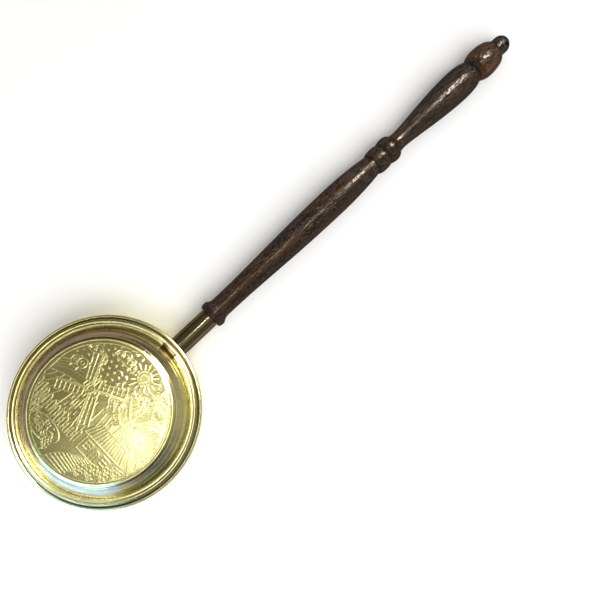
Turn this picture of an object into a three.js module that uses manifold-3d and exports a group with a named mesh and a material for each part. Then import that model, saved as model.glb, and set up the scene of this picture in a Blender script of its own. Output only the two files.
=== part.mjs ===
// A small bed warming pan. The brass pan has a rolled rim, the lid turns on the straight stretch of
// its own rim wire, and a turned wooden handle is screwed to the pan through a brass ferrule.
// Millimetres. The origin is the centre of the pan's flat base, +X runs along the handle, +Z is up.

import * as THREE from 'three';
import { mergeVertices } from 'three/addons/utils/BufferGeometryUtils.js';
import Module from 'manifold-3d';

const wasm = await Module();
wasm.setup();

// --- driving dimensions -----------------------------------------------------------------------

const SHEET = 0.7; // brass sheet of the pan, the lid and the hinge strap
const SEAT_GAP = 0.3; // between faces that touch
const WIRE_PLAY = 0.2; // between a wire and the sheet rolled round it

const PAN_RADIUS = 76.2; // outside of the rolled rim
const PAN_RIM_HEIGHT = 36.2; // centre of the rim wire above the base
const PAN_WIRE_RADIUS = 0.55;
const PAN_CORNER_RUN = 20; // the rounded corner of the base, measured outwards
const PAN_CORNER_RISE = 12; // and upwards
const LEDGE_DROP = 0.85; // from the rim wire down to the ledge that carries the lid
const LEDGE_WIDTH = 3.7;
const LEDGE_BEND = 0.5; // bend radius where the ledge meets the wall and the rim

const RIM_GAP = 0.65; // between the pan's rolled rim and the lid's
const LID_WIRE_RADIUS = 1.1;
const LID_VALLEY = 0.45; // between the lid's rolled rim and the foot of its wall
const LID_RISE = 14; // from the lid's flange to its crown
const LID_WALL_RUN = 12.3; // width of the sloping wall between flange and crown
const LID_FOOT_BEND = 1.6;
const CROWN_STEP_WIDTH = 1.3; // the fine step pressed round the crown
const CROWN_STEP_HEIGHT = 0.5;
const CROWN_DOME = 0.6; // rise of the crown towards its centre

const NOTCH_WIDTH = 14.8; // opening in the lid's rolled rim that shows the hinge
const NOTCH_DEPTH = 3.1; // from the hinge axis towards the lid's centre
const STRAP_WIDTH = 13.4;
const STRAP_TAIL = 5.8; // of the strap below the handle's axis

const HANDLE_HEIGHT = 18; // of the handle's axis where it meets the pan
const SCREW_RADIUS = 2;
const SCREW_LENGTH = 30;
const SCREW_HEAD_RADIUS = 4.2;
const SCREW_HEAD_HEIGHT = 2;
const SCREW_SLOT_WIDTH = 1.1;
const SCREW_SLOT_DEPTH = 0.9;
const SCREW_POINT = 4;
const WASHER_RADIUS = 5.4;
const WASHER_THICKNESS = 0.8;

const FERRULE_RADIUS = 8.6;
const FERRULE_WALL = 0.8;
const FERRULE_LENGTH = 39;
const TENON_SETBACK = 2.4; // from the pan's wall to the end of the handle's tenon

const COLLAR_LENGTH = 12.4;
const COLLAR_RADIUS = 11.9;
const NECK_RADIUS = 9.2;
const LOWER_SWELL_LENGTH = 136; // from the collar to the thickest part of the lower grip
const LOWER_TAPER_LENGTH = 48.2; // from there to the waist
const LOWER_RADIUS = 12.7;
const WAIST_RADIUS = 9.45;
const LOWER_BEAD_LENGTH = 14.4;
const LOWER_BEAD_RADIUS = 11.6;
const BEAD_GROOVE_RADIUS = 9.9;
const UPPER_BEAD_LENGTH = 11.8;
const UPPER_BEAD_RADIUS = 12;
const THROAT_LENGTH = 8.6;
const THROAT_RADIUS = 8.05;
const UPPER_SWELL_LENGTH = 75;
const UPPER_TAPER_LENGTH = 21.8;
const UPPER_RADIUS = 14.15;
const KNOB_NECK_RADIUS = 9.9;
const KNOB_SWELL_LENGTH = 12.2; // from the knob's neck to its thickest part
const KNOB_TAPER_LENGTH = 18;
const KNOB_RADIUS = 14.3;
const KNOB_END_RADIUS = 8.5;

const FINIAL_RADIUS = 8.3;
const FINIAL_LENGTH = 16.6;
const FINIAL_TENON_RADIUS = 4;
const FINIAL_TENON_LENGTH = 12;
const HANG_HOLE_RADIUS = 1.7;
const HANG_HOLE_FROM_TIP = 8;
const HANG_HOLE_ROLL = THREE.MathUtils.degToRad(30); // the hole leans towards -Y at its upper mouth

const PAN_SEGMENTS = 48;
const HANDLE_SEGMENTS = 28;
const SMALL_SEGMENTS = 16;
const WIRE_SEGMENTS = 6;

// --- places worked out from them --------------------------------------------------------------

const panCurl = PAN_WIRE_RADIUS + WIRE_PLAY + SHEET / 2; // middle of the sheet round the wire
const panBeadRadius = PAN_RADIUS - panCurl - SHEET / 2;
const ledgeHeight = PAN_RIM_HEIGHT - LEDGE_DROP;
const ledgeOuter = panBeadRadius - panCurl;
const panWall = ledgeOuter - LEDGE_WIDTH;

const lidCurl = LID_WIRE_RADIUS + WIRE_PLAY + SHEET / 2;
const lidBeadRadius = ledgeOuter - SHEET / 2 - RIM_GAP - lidCurl - SHEET / 2;
const lidFlangeHeight = ledgeHeight + SHEET + SEAT_GAP;
const lidBeadHeight = lidFlangeHeight + lidCurl;
const lidFoot = lidBeadRadius - lidCurl - SHEET / 2 - LID_VALLEY;
const crownRadius = lidFoot - LID_WALL_RUN;

const hingeX = Math.sqrt(lidBeadRadius ** 2 - (NOTCH_WIDTH / 2) ** 2);
const strapX = hingeX - lidCurl; // the strap's leg hangs from the inner side of its barrel

const wallFace = panWall + SHEET / 2;
const ferruleEnd = wallFace + FERRULE_LENGTH;
const collarStart = ferruleEnd + SEAT_GAP;
const neckStart = collarStart + COLLAR_LENGTH;
const lowerThickest = neckStart + LOWER_SWELL_LENGTH;
const waist = lowerThickest + LOWER_TAPER_LENGTH;
const groove = waist + LOWER_BEAD_LENGTH;
const beadEnd = groove + UPPER_BEAD_LENGTH;
const throat = beadEnd + THROAT_LENGTH;
const upperThickest = throat + UPPER_SWELL_LENGTH;
const knobNeck = upperThickest + UPPER_TAPER_LENGTH;
const knobThickest = knobNeck + KNOB_SWELL_LENGTH;
const knobEnd = knobThickest + KNOB_TAPER_LENGTH;
const finialStart = knobEnd + SEAT_GAP;
const finialTip = finialStart + FINIAL_LENGTH;
const tenonStart = wallFace + TENON_SETBACK;
const tenonRadius = FERRULE_RADIUS - FERRULE_WALL - SEAT_GAP;
const screwHole = SCREW_RADIUS + SEAT_GAP;
const washerFace = strapX - SHEET / 2 - SEAT_GAP; // the washer's side towards the strap
const headFace = washerFace - WASHER_THICKNESS - SEAT_GAP;
// The handle leans down until its knob stands on the same surface as the pan.
const handleLean = Math.asin((HANDLE_HEIGHT - KNOB_RADIUS) / (knobThickest - wallFace));
const handleOrigin = HANDLE_HEIGHT + wallFace * Math.tan(handleLean);

// --- shaping helpers --------------------------------------------------------------------------

const RIGHT_ANGLE = Math.PI / 2;

function point(across, along) {
  return new THREE.Vector2(across, along);
}

// The unit direction square to an open line at one of its points, on the line's left side.
function leftOf(line, index) {
  const before = line[Math.max(index - 1, 0)];
  const after = line[Math.min(index + 1, line.length - 1)];
  const run = after.clone().sub(before).normalize();
  return point(-run.y, run.x);
}

// The line moved sideways, to its left for a positive distance. A point on the axis stays on it.
function offsetLine(line, distance) {
  return line.map((at, index) => {
    const moved = at.clone().addScaledVector(leftOf(line, index), distance);
    return at.x === 0 ? point(0, moved.y) : moved;
  });
}

// The outline of a sheet whose middle is the given line, from the line's right side to its left.
function sheetOutline(line, thickness) {
  const right = offsetLine(line, -thickness / 2);
  const left = offsetLine(line, thickness / 2);
  return [...right, ...left.reverse()];
}

// The points of several curves in turn, without the doubled points where they meet.
function joined(...runs) {
  const points = runs.flat();
  return points.filter((at, index) => index === 0 || at.distanceTo(points[index - 1]) > 1e-4);
}

// Points on an arc, or on part of an ellipse, from one angle to another.
function arc(centre, across, along, from, to, steps) {
  const clockwise = to < from;
  const curve = new THREE.EllipseCurve(centre.x, centre.y, across, along, from, to, clockwise);
  return curve.getPoints(steps);
}

// Points on a curve with one control point.
function bend(from, control, to, steps) {
  return new THREE.QuadraticBezierCurve(from, control, to).getPoints(steps);
}

// A closed body turned about Z from an outline of (radius, height).
function turnedAboutZ(outline, segments) {
  return new THREE.LatheGeometry(outline, segments).rotateX(RIGHT_ANGLE);
}

// A closed body turned about X from an outline of (distance along X, radius).
function turnedAboutX(outline, segments) {
  const swapped = outline.map((at) => point(at.y, at.x));
  return new THREE.LatheGeometry(swapped, segments).rotateZ(-RIGHT_ANGLE);
}

// A round bar along X.
function barAlongX(radius, from, to, segments) {
  const outline = [point(from, 0), point(from, radius), point(to, radius), point(to, 0)];
  return turnedAboutX(outline, segments);
}

function box(from, to) {
  const size = to.clone().sub(from);
  const middle = from.clone().add(to).multiplyScalar(0.5);
  return new THREE.BoxGeometry(size.x, size.y, size.z).translate(middle.x, middle.y, middle.z);
}

// The geometry with its doubled vertices merged and its empty triangles left out.
function welded(geometry) {
  const bare = geometry.clone();
  bare.deleteAttribute('normal');
  bare.deleteAttribute('uv');
  const merged = mergeVertices(bare);
  const corners = merged.index.array;
  const kept = [];
  for (let i = 0; i < corners.length; i += 3) {
    const [a, b, c] = corners.slice(i, i + 3);
    if (a !== b && b !== c && c !== a) kept.push(a, b, c);
  }
  return merged.setIndex(kept);
}

// The geometry as a solid that can be joined and cut.
function solid(geometry) {
  const closed = welded(geometry);
  return new wasm.Manifold(new wasm.Mesh({
    numProp: 3,
    vertProperties: new Float32Array(closed.attributes.position.array),
    triVerts: new Uint32Array(closed.index.array),
  }));
}

function geometryOf(body) {
  const mesh = body.getMesh();
  const geometry = new THREE.BufferGeometry();
  geometry.setAttribute('position', new THREE.BufferAttribute(mesh.vertProperties, 3));
  geometry.setIndex(new THREE.BufferAttribute(mesh.triVerts, 1));
  geometry.computeVertexNormals();
  return geometry;
}

function piece(name, geometry, material) {
  const mesh = new THREE.Mesh(geometry, material);
  mesh.name = name;
  return mesh;
}

// --- finishes ---------------------------------------------------------------------------------

const brass = () => new THREE.MeshStandardMaterial({ color: 0xb59a45, metalness: 1, roughness: 0.25 });
const steel = () => new THREE.MeshStandardMaterial({ color: 0x8d8f92, metalness: 1, roughness: 0.4 });
const wood = () => new THREE.MeshStandardMaterial({ color: 0x3c2114, metalness: 0, roughness: 0.25 });
const ebony = () => new THREE.MeshStandardMaterial({ color: 0x1b1412, metalness: 0, roughness: 0.35 });

// --- the pan ----------------------------------------------------------------------------------

// The middle of the sheet of the pan's base and wall, from the centre to below the ledge.
function bowlLine() {
  const baseRadius = panWall - PAN_CORNER_RUN;
  const cornerCentre = point(baseRadius, PAN_CORNER_RISE + SHEET / 2);
  return joined(
    [point(0, SHEET / 2)],
    arc(cornerCentre, PAN_CORNER_RUN, PAN_CORNER_RISE, -RIGHT_ANGLE, 0, 6),
    [point(panWall, ledgeHeight - LEDGE_BEND)],
  );
}

// The ledge, and the rim that is curled over its wire and left open underneath.
function rimLine() {
  const inner = point(panWall + LEDGE_BEND, ledgeHeight - LEDGE_BEND);
  const outer = point(ledgeOuter - LEDGE_BEND, ledgeHeight + LEDGE_BEND);
  const wire = point(panBeadRadius, PAN_RIM_HEIGHT);
  return joined(
    arc(inner, LEDGE_BEND, LEDGE_BEND, Math.PI, RIGHT_ANGLE, 2).slice(1),
    arc(outer, LEDGE_BEND, LEDGE_BEND, -RIGHT_ANGLE, 0, 2),
    arc(wire, panCurl, panCurl, Math.PI, -0.64 * Math.PI, 8),
  );
}

function makePan() {
  const outline = sheetOutline([...bowlLine(), ...rimLine()], SHEET);
  const sheet = solid(turnedAboutZ(outline, PAN_SEGMENTS));
  const drill = barAlongX(screwHole, panWall - LEDGE_WIDTH, panWall + LEDGE_WIDTH, SMALL_SEGMENTS);
  const hole = solid(drill.translate(0, 0, HANDLE_HEIGHT));
  return piece('pan', geometryOf(sheet.subtract(hole)), brass());
}

// A full ring of round wire about Z.
function wireRing(ringRadius, height, wireRadius) {
  const centre = point(ringRadius, height);
  const section = arc(centre, wireRadius, wireRadius, 0, 2 * Math.PI, WIRE_SEGMENTS);
  section[WIRE_SEGMENTS] = section[0];
  return turnedAboutZ(section, PAN_SEGMENTS);
}

function makePanWire() {
  return piece('pan_rim_wire', wireRing(panBeadRadius, PAN_RIM_HEIGHT, PAN_WIRE_RADIUS), steel());
}

// --- the lid ----------------------------------------------------------------------------------

// The middle of the lid's sheet, from the crown's centre to the foot of its wall.
function crownLine() {
  const crown = lidFlangeHeight + LID_RISE;
  const shoulder = crown - CROWN_STEP_HEIGHT;
  const stepRadius = crownRadius - CROWN_STEP_WIDTH;
  const crownEdge = point(stepRadius - CROWN_STEP_HEIGHT, crown);
  const shoulderEdge = point(crownRadius - CROWN_STEP_HEIGHT, shoulder);
  const wallTop = point(crownRadius + LID_WALL_RUN / 8, shoulder - LID_RISE / 6);
  const foot = point(lidFoot, lidFlangeHeight);
  return joined(
    bend(point(0, crown + CROWN_DOME), point(stepRadius / 2, crown + CROWN_DOME), crownEdge, 3),
    [point(stepRadius, shoulder), shoulderEdge],
    bend(shoulderEdge, point(crownRadius + CROWN_STEP_HEIGHT, shoulder), wallTop, 3),
    bend(wallTop, point(lidFoot - LID_WALL_RUN / 5, lidFlangeHeight + LID_FOOT_BEND), foot, 4),
  );
}

// The middle of the lid's sheet down to the flange, and rolled up over the wire.
function lidLine() {
  const wire = point(lidBeadRadius, lidBeadHeight);
  return joined(crownLine(), arc(wire, lidCurl, lidCurl, -RIGHT_ANGLE, 1.12 * Math.PI, 8));
}

// The notch goes through the rolled rim and the flange.
function notch() {
  const half = NOTCH_WIDTH / 2;
  const from = new THREE.Vector3(hingeX - NOTCH_DEPTH, -half, lidFlangeHeight - LID_RISE);
  const to = new THREE.Vector3(PAN_RADIUS, half, lidFlangeHeight + LID_RISE);
  return box(from, to);
}

function makeLid() {
  const sheet = solid(turnedAboutZ(sheetOutline(lidLine(), SHEET), PAN_SEGMENTS));
  return piece('lid', geometryOf(sheet.subtract(solid(notch()))), brass());
}

// The lid's wire runs round its rim, and straight across the notch as the hinge pin.
function makeLidWire() {
  const ring = solid(wireRing(lidBeadRadius, lidBeadHeight, LID_WIRE_RADIUS));
  const half = NOTCH_WIDTH / 2;
  const gap = solid(box(
    new THREE.Vector3(hingeX - NOTCH_DEPTH, -half, lidBeadHeight - lidCurl),
    new THREE.Vector3(PAN_RADIUS, half, lidBeadHeight + lidCurl),
  ));
  const pin = new THREE.CylinderGeometry(
    LID_WIRE_RADIUS, LID_WIRE_RADIUS, NOTCH_WIDTH + LID_WIRE_RADIUS, SMALL_SEGMENTS,
  ).translate(hingeX, 0, lidBeadHeight);
  return piece('lid_rim_wire', geometryOf(ring.subtract(gap).add(solid(pin))), steel());
}

// --- the hinge strap --------------------------------------------------------------------------

// A strap rolled round the pin, with its leg inside the pan's wall under the handle screw.
function makeHingeStrap() {
  const tail = point(strapX, HANDLE_HEIGHT - STRAP_TAIL);
  const barrel = arc(point(hingeX, lidBeadHeight), lidCurl, lidCurl, Math.PI, -0.61 * Math.PI, 14);
  const outline = sheetOutline([tail, ...barrel], SHEET);
  const strap = new THREE.ExtrudeGeometry(new THREE.Shape(outline), {
    depth: STRAP_WIDTH, bevelEnabled: false,
  });
  strap.translate(0, 0, -STRAP_WIDTH / 2).rotateX(RIGHT_ANGLE);
  const drill = barAlongX(screwHole, strapX - lidCurl, strapX + lidCurl, SMALL_SEGMENTS);
  const hole = solid(drill.translate(0, 0, HANDLE_HEIGHT));
  return piece('hinge_strap', geometryOf(solid(strap).subtract(hole)), brass());
}

// --- the handle, modelled level along X -------------------------------------------------------

function makeScrew() {
  const tip = headFace + SCREW_LENGTH;
  const outline = [
    point(headFace - SCREW_HEAD_HEIGHT, 0),
    point(headFace - SCREW_HEAD_HEIGHT, SCREW_HEAD_RADIUS - SCREW_SLOT_DEPTH / 2),
    point(headFace - SCREW_HEAD_HEIGHT + SCREW_SLOT_DEPTH / 2, SCREW_HEAD_RADIUS),
    point(headFace, SCREW_HEAD_RADIUS),
    point(headFace, SCREW_RADIUS),
    point(tip - SCREW_POINT, SCREW_RADIUS),
    point(tip, 0),
  ];
  const slot = solid(box(
    new THREE.Vector3(headFace - 2 * SCREW_HEAD_HEIGHT, -SCREW_HEAD_RADIUS * 2, -SCREW_SLOT_WIDTH / 2),
    new THREE.Vector3(headFace - SCREW_HEAD_HEIGHT + SCREW_SLOT_DEPTH, SCREW_HEAD_RADIUS * 2,
      SCREW_SLOT_WIDTH / 2),
  ));
  const body = solid(turnedAboutX(outline, SMALL_SEGMENTS)).subtract(slot);
  return piece('handle_screw', geometryOf(body), steel());
}

// A round tube along X, as an outline that closes on itself.
function tubeOutline(from, to, inner, outer) {
  return [point(from, inner), point(from, outer), point(to, outer), point(to, inner), point(from, inner)];
}

function makeWasher() {
  const outline = tubeOutline(washerFace - WASHER_THICKNESS, washerFace, screwHole, WASHER_RADIUS);
  return piece('screw_washer', turnedAboutX(outline, SMALL_SEGMENTS), steel());
}

// The space that the pan takes up below its ledge, with the seat gap round it.
function panEnvelope() {
  const outside = offsetLine(bowlLine(), -SHEET / 2 - SEAT_GAP);
  const top = point(0, outside[outside.length - 1].y);
  return turnedAboutZ([...outside, top], PAN_SEGMENTS);
}

// The ferrule's end is cut to the curve of the pan's wall.
function makeFerrule(handleFrame) {
  const tube = turnedAboutX(
    tubeOutline(panWall - PAN_CORNER_RUN, ferruleEnd, FERRULE_RADIUS - FERRULE_WALL, FERRULE_RADIUS),
    HANDLE_SEGMENTS,
  );
  const pan = welded(panEnvelope()).applyMatrix4(handleFrame.clone().invert());
  return piece('ferrule', geometryOf(solid(tube).subtract(solid(pan))), brass());
}

// A long curve that leaves its start level and comes down to its end with the given fall.
function swell(from, to, leave, arrive, fall = 0) {
  const length = to.x - from.x;
  const leaving = point(from.x + leave * length, from.y);
  const arriving = point(to.x - arrive * length, to.y + fall);
  return new THREE.CubicBezierCurve(from, leaving, arriving, to).getPoints(6);
}

// A half-round bead over its stretch of the handle.
function bead(from, to, radius) {
  const centre = point((from + to) / 2, BEAD_GROOVE_RADIUS);
  return arc(centre, (to - from) / 2, radius - BEAD_GROOVE_RADIUS, Math.PI, 0, 7);
}

// The rounded collar behind the ferrule, which runs into the neck with a cove.
function collar() {
  const start = point(collarStart, NECK_RADIUS);
  const top = point(collarStart + COLLAR_LENGTH * 0.38, COLLAR_RADIUS);
  const cove = point(collarStart + COLLAR_LENGTH * 0.62, (COLLAR_RADIUS + NECK_RADIUS) / 2);
  const end = point(neckStart, NECK_RADIUS);
  return joined(
    bend(start, point(start.x, top.y), top, 4),
    bend(top, point((top.x + cove.x) / 2, top.y), cove, 2),
    bend(cove, point((cove.x + end.x) / 2, end.y), end, 3),
  );
}

function lowerGrip() {
  const thickest = point(lowerThickest, LOWER_RADIUS);
  const fall = (LOWER_RADIUS - WAIST_RADIUS) * 0.4;
  return joined(
    swell(point(neckStart, NECK_RADIUS), thickest, 0.32, 0.43),
    swell(thickest, point(waist, WAIST_RADIUS), 0.5, 0.19, fall),
  );
}

function upperGrip() {
  const thickest = point(upperThickest, UPPER_RADIUS);
  const fall = (UPPER_RADIUS - KNOB_NECK_RADIUS) * 0.68;
  const throatStart = point(beadEnd, BEAD_GROOVE_RADIUS);
  const throatEnd = point(throat, THROAT_RADIUS);
  return joined(
    bend(throatStart, point(beadEnd + THROAT_LENGTH * 0.2, THROAT_RADIUS), throatEnd, 3),
    swell(throatEnd, thickest, 0.15, 0.37),
    swell(thickest, point(knobNeck, KNOB_NECK_RADIUS), 0.5, 0.15, fall),
  );
}

function knob() {
  const thickest = point(knobThickest, KNOB_RADIUS);
  const fall = (KNOB_RADIUS - KNOB_END_RADIUS) * 0.72;
  const shoulder = (KNOB_NECK_RADIUS + KNOB_RADIUS) / 2;
  return joined(
    new THREE.CubicBezierCurve(point(knobNeck, KNOB_NECK_RADIUS),
      point(knobNeck + KNOB_SWELL_LENGTH * 0.1, shoulder),
      point(knobThickest - KNOB_SWELL_LENGTH * 0.5, KNOB_RADIUS), thickest).getPoints(4),
    swell(thickest, point(knobEnd, KNOB_END_RADIUS), 0.5, 0.08, fall),
  );
}

// The turned handle, with a tenon in the ferrule, a hole for the screw and one for the finial.
function makeHandle() {
  const screwHoleEnd = headFace + SCREW_LENGTH + SEAT_GAP;
  const finialHole = FINIAL_TENON_RADIUS + SEAT_GAP;
  const finialHoleEnd = finialStart - FINIAL_TENON_LENGTH - SEAT_GAP;
  const outline = [
    point(screwHoleEnd, 0),
    point(screwHoleEnd, screwHole),
    point(tenonStart, screwHole),
    point(tenonStart, tenonRadius),
    point(collarStart, tenonRadius),
    ...joined(collar(), lowerGrip(), bead(waist, groove, LOWER_BEAD_RADIUS),
      bead(groove, beadEnd, UPPER_BEAD_RADIUS), upperGrip(), knob()),
    point(knobEnd, finialHole),
    point(finialHoleEnd, finialHole),
    point(finialHoleEnd, 0),
  ];
  return piece('handle', turnedAboutX(outline, HANDLE_SEGMENTS), wood());
}

// The dark finial, pegged into the knob and drilled across to hang the pan up.
function makeFinial() {
  const dome = arc(point(finialTip - FINIAL_RADIUS, 0), FINIAL_RADIUS, FINIAL_RADIUS, RIGHT_ANGLE, 0, 6);
  const outline = [
    point(finialStart - FINIAL_TENON_LENGTH, 0),
    point(finialStart - FINIAL_TENON_LENGTH, FINIAL_TENON_RADIUS),
    point(finialStart, FINIAL_TENON_RADIUS),
    point(finialStart, FINIAL_RADIUS),
    ...dome.slice(0, -1),
    point(finialTip, 0),
  ];
  const drill = new THREE.CylinderGeometry(
    HANG_HOLE_RADIUS, HANG_HOLE_RADIUS, 3 * FINIAL_RADIUS, SMALL_SEGMENTS,
  );
  drill.rotateX(RIGHT_ANGLE + HANG_HOLE_ROLL).translate(finialTip - HANG_HOLE_FROM_TIP, 0, 0);
  const body = solid(turnedAboutX(outline, HANDLE_SEGMENTS)).subtract(solid(drill));
  return piece('finial', geometryOf(body), ebony());
}

// --- assembly ---------------------------------------------------------------------------------

const handle = new THREE.Group();
handle.position.z = handleOrigin;
handle.rotation.y = handleLean;
handle.updateMatrix();
handle.add(makeScrew(), makeWasher(), makeFerrule(handle.matrix), makeHandle(), makeFinial());

const lid = new THREE.Group();
lid.add(makeLid(), makeLidWire());

const warmingPan = new THREE.Group();
warmingPan.add(makePan(), makePanWire(), lid, makeHingeStrap(), handle);

export default warmingPan;
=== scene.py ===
"""A small brass bed warming pan with a hinged lid and a turned wooden handle.

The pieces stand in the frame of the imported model: the origin is the centre of the pan's flat
base, +X runs along the handle and +Z is up. Sizes are written in millimetres and become metres
where a mesh is made. The picture pressed into the lid has its upper edge towards the handle.
"""

import logging
import math
import random
from dataclasses import dataclass, field
from enum import Enum
from typing import Any, Iterable, Optional, Sequence, Union

import bpy
import numpy as np
from mathutils import Matrix, Vector

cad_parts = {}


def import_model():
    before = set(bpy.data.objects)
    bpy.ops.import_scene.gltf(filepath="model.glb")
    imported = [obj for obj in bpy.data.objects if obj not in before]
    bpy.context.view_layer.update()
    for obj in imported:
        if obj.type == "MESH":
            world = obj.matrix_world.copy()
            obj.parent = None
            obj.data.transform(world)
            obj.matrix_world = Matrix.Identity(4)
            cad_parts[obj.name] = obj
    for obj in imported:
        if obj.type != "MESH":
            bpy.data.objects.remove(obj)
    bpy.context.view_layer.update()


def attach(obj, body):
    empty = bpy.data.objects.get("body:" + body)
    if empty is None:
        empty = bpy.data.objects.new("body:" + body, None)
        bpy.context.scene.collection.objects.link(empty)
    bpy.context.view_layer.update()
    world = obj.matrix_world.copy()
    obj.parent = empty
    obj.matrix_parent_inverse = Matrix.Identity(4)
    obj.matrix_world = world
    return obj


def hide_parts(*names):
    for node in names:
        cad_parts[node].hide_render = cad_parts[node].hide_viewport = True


log = logging.getLogger("warming_pan")

Point = tuple[float, float]
Line = list[Point]
Corners = list[tuple[float, float, float]]
Faces = list[tuple[int, ...]]
Colour = tuple[float, float, float]

MM = 0.001
QUARTER = math.pi / 2
TURN = 2 * math.pi
CLEARANCE = 0.3


# --- lines and outlines -------------------------------------------------------------------------


def arc(centre: Point, radii: Point, start: float, end: float, steps: int) -> Line:
    """Gives points on part of an ellipse.

    Args:
        centre: The ellipse's centre.
        radii: Its two radii.
        start: The first angle, in radians.
        end: The last angle, in radians.
        steps: The number of stretches between the points.

    Returns:
        The points from the first angle to the last.
    """
    angles = (start + (end - start) * i / steps for i in range(steps + 1))
    return [
        (centre[0] + radii[0] * math.cos(a), centre[1] + radii[1] * math.sin(a)) for a in angles
    ]


def loop(centre: Point, radii: Point, steps: int) -> Line:
    """Gives points round a whole ellipse, each of them once."""
    return arc(centre, radii, 0, TURN, steps)[:-1]


def oblong(low: Point, high: Point) -> Line:
    """Gives the corners of an upright rectangle between its lowest and its highest corner."""
    return [low, (high[0], low[1]), high, (low[0], high[1])]


def rod(near: float, far: float, radius: float) -> Line:
    """Gives the outline that is turned into a plain rod along the handle."""
    return [(near, 0.0), (near, radius), (far, radius), (far, 0.0)]


def between(start: Point, end: Point, share: float) -> Point:
    """Gives the point that lies part of the way from one point to another."""
    return (start[0] + (end[0] - start[0]) * share, start[1] + (end[1] - start[1]) * share)


def bezier(corners: Sequence[Point], steps: int) -> Line:
    """Gives points on a Bezier curve of any degree.

    Args:
        corners: The curve's control points, its two ends among them.
        steps: The number of stretches between the points.

    Returns:
        The points from one end to the other.
    """
    degree = len(corners) - 1
    points = []
    for i in range(steps + 1):
        t = i / steps
        weights = [math.comb(degree, k) * t**k * (1 - t) ** (degree - k) for k in range(degree + 1)]
        first = sum(w * c[0] for w, c in zip(weights, corners))
        second = sum(w * c[1] for w, c in zip(weights, corners))
        points.append((first, second))
    return points


def straight(start: Point, end: Point, steps: int) -> Line:
    """Gives evenly spaced points on a straight line."""
    return bezier((start, end), steps)


def joined(*runs: Line) -> Line:
    """Gives the points of several lines in turn, without doubled points where they meet."""
    points: Line = []
    for at in (at for run in runs for at in run):
        if not points or math.dist(at, points[-1]) > 1e-5:
            points.append(at)
    return points


def offset_line(line: Line, distance: float) -> Line:
    """Moves an open line sideways.

    Args:
        line: The line.
        distance: How far it moves to its left. A negative distance moves it to its right.

    Returns:
        The moved line. A point on the axis stays on the axis.
    """
    shifted = []
    for index, (first, second) in enumerate(line):
        before = line[max(index - 1, 0)]
        after = line[min(index + 1, len(line) - 1)]
        run = math.dist(before, after)
        sideways = -(after[1] - before[1]) / run
        onwards = (after[0] - before[0]) / run
        out = 0.0 if first == 0 else first + sideways * distance
        shifted.append((out, second + onwards * distance))
    return shifted


def sheet_outline(line: Line, thickness: float) -> Line:
    """Gives the closed outline of a sheet whose middle is the given line."""
    return offset_line(line, -thickness / 2) + offset_line(line, thickness / 2)[::-1]


def eased(value: np.ndarray) -> np.ndarray:
    """Gives a smooth step from 0 to 1 for values between 0 and 1."""
    held = np.clip(value, 0.0, 1.0)
    return held * held * (3.0 - 2.0 * held)


# --- shader nodes -------------------------------------------------------------------------------


class Wire:
    """A number, colour or vector that leaves a node. An expression on numbers adds Math nodes."""

    def __init__(self, recipe: "Recipe", socket: bpy.types.NodeSocket) -> None:
        """Remembers the recipe and the socket."""
        self.recipe = recipe
        self.socket = socket

    def _maths(self, operation: str, *values: "Value") -> "Wire":
        """Adds one Math node."""
        return self.recipe.node("ShaderNodeMath", {"operation": operation}, dict(enumerate(values)))

    def __add__(self, other: "Value") -> "Wire":
        """Adds."""
        return self._maths("ADD", self, other)

    def __radd__(self, other: "Value") -> "Wire":
        """Adds, with the number first."""
        return self._maths("ADD", other, self)

    def __sub__(self, other: "Value") -> "Wire":
        """Subtracts."""
        return self._maths("SUBTRACT", self, other)

    def __rsub__(self, other: "Value") -> "Wire":
        """Subtracts this from a number."""
        return self._maths("SUBTRACT", other, self)

    def __mul__(self, other: "Value") -> "Wire":
        """Multiplies."""
        return self._maths("MULTIPLY", self, other)

    def __pow__(self, other: "Value") -> "Wire":
        """Raises to a power."""
        return self._maths("POWER", self, other)

    def wave(self) -> "Wire":
        """Gives the sine."""
        return self._maths("SINE", self)

    def size(self) -> "Wire":
        """Gives the number without its sign."""
        return self._maths("ABSOLUTE", self)

    def larger(self, other: "Value") -> "Wire":
        """Gives the larger of two numbers."""
        return self._maths("MAXIMUM", self, other)

    def step(self, low: float, high: float) -> "Wire":
        """Rises smoothly from 0 at the low value to 1 at the high one."""
        settings = {"interpolation_type": "SMOOTHSTEP"}
        return self.recipe.node(
            "ShaderNodeMapRange", settings, {"Value": self, "From Min": low, "From Max": high}
        )


Value = Union[Wire, float, Sequence[float]]


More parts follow.
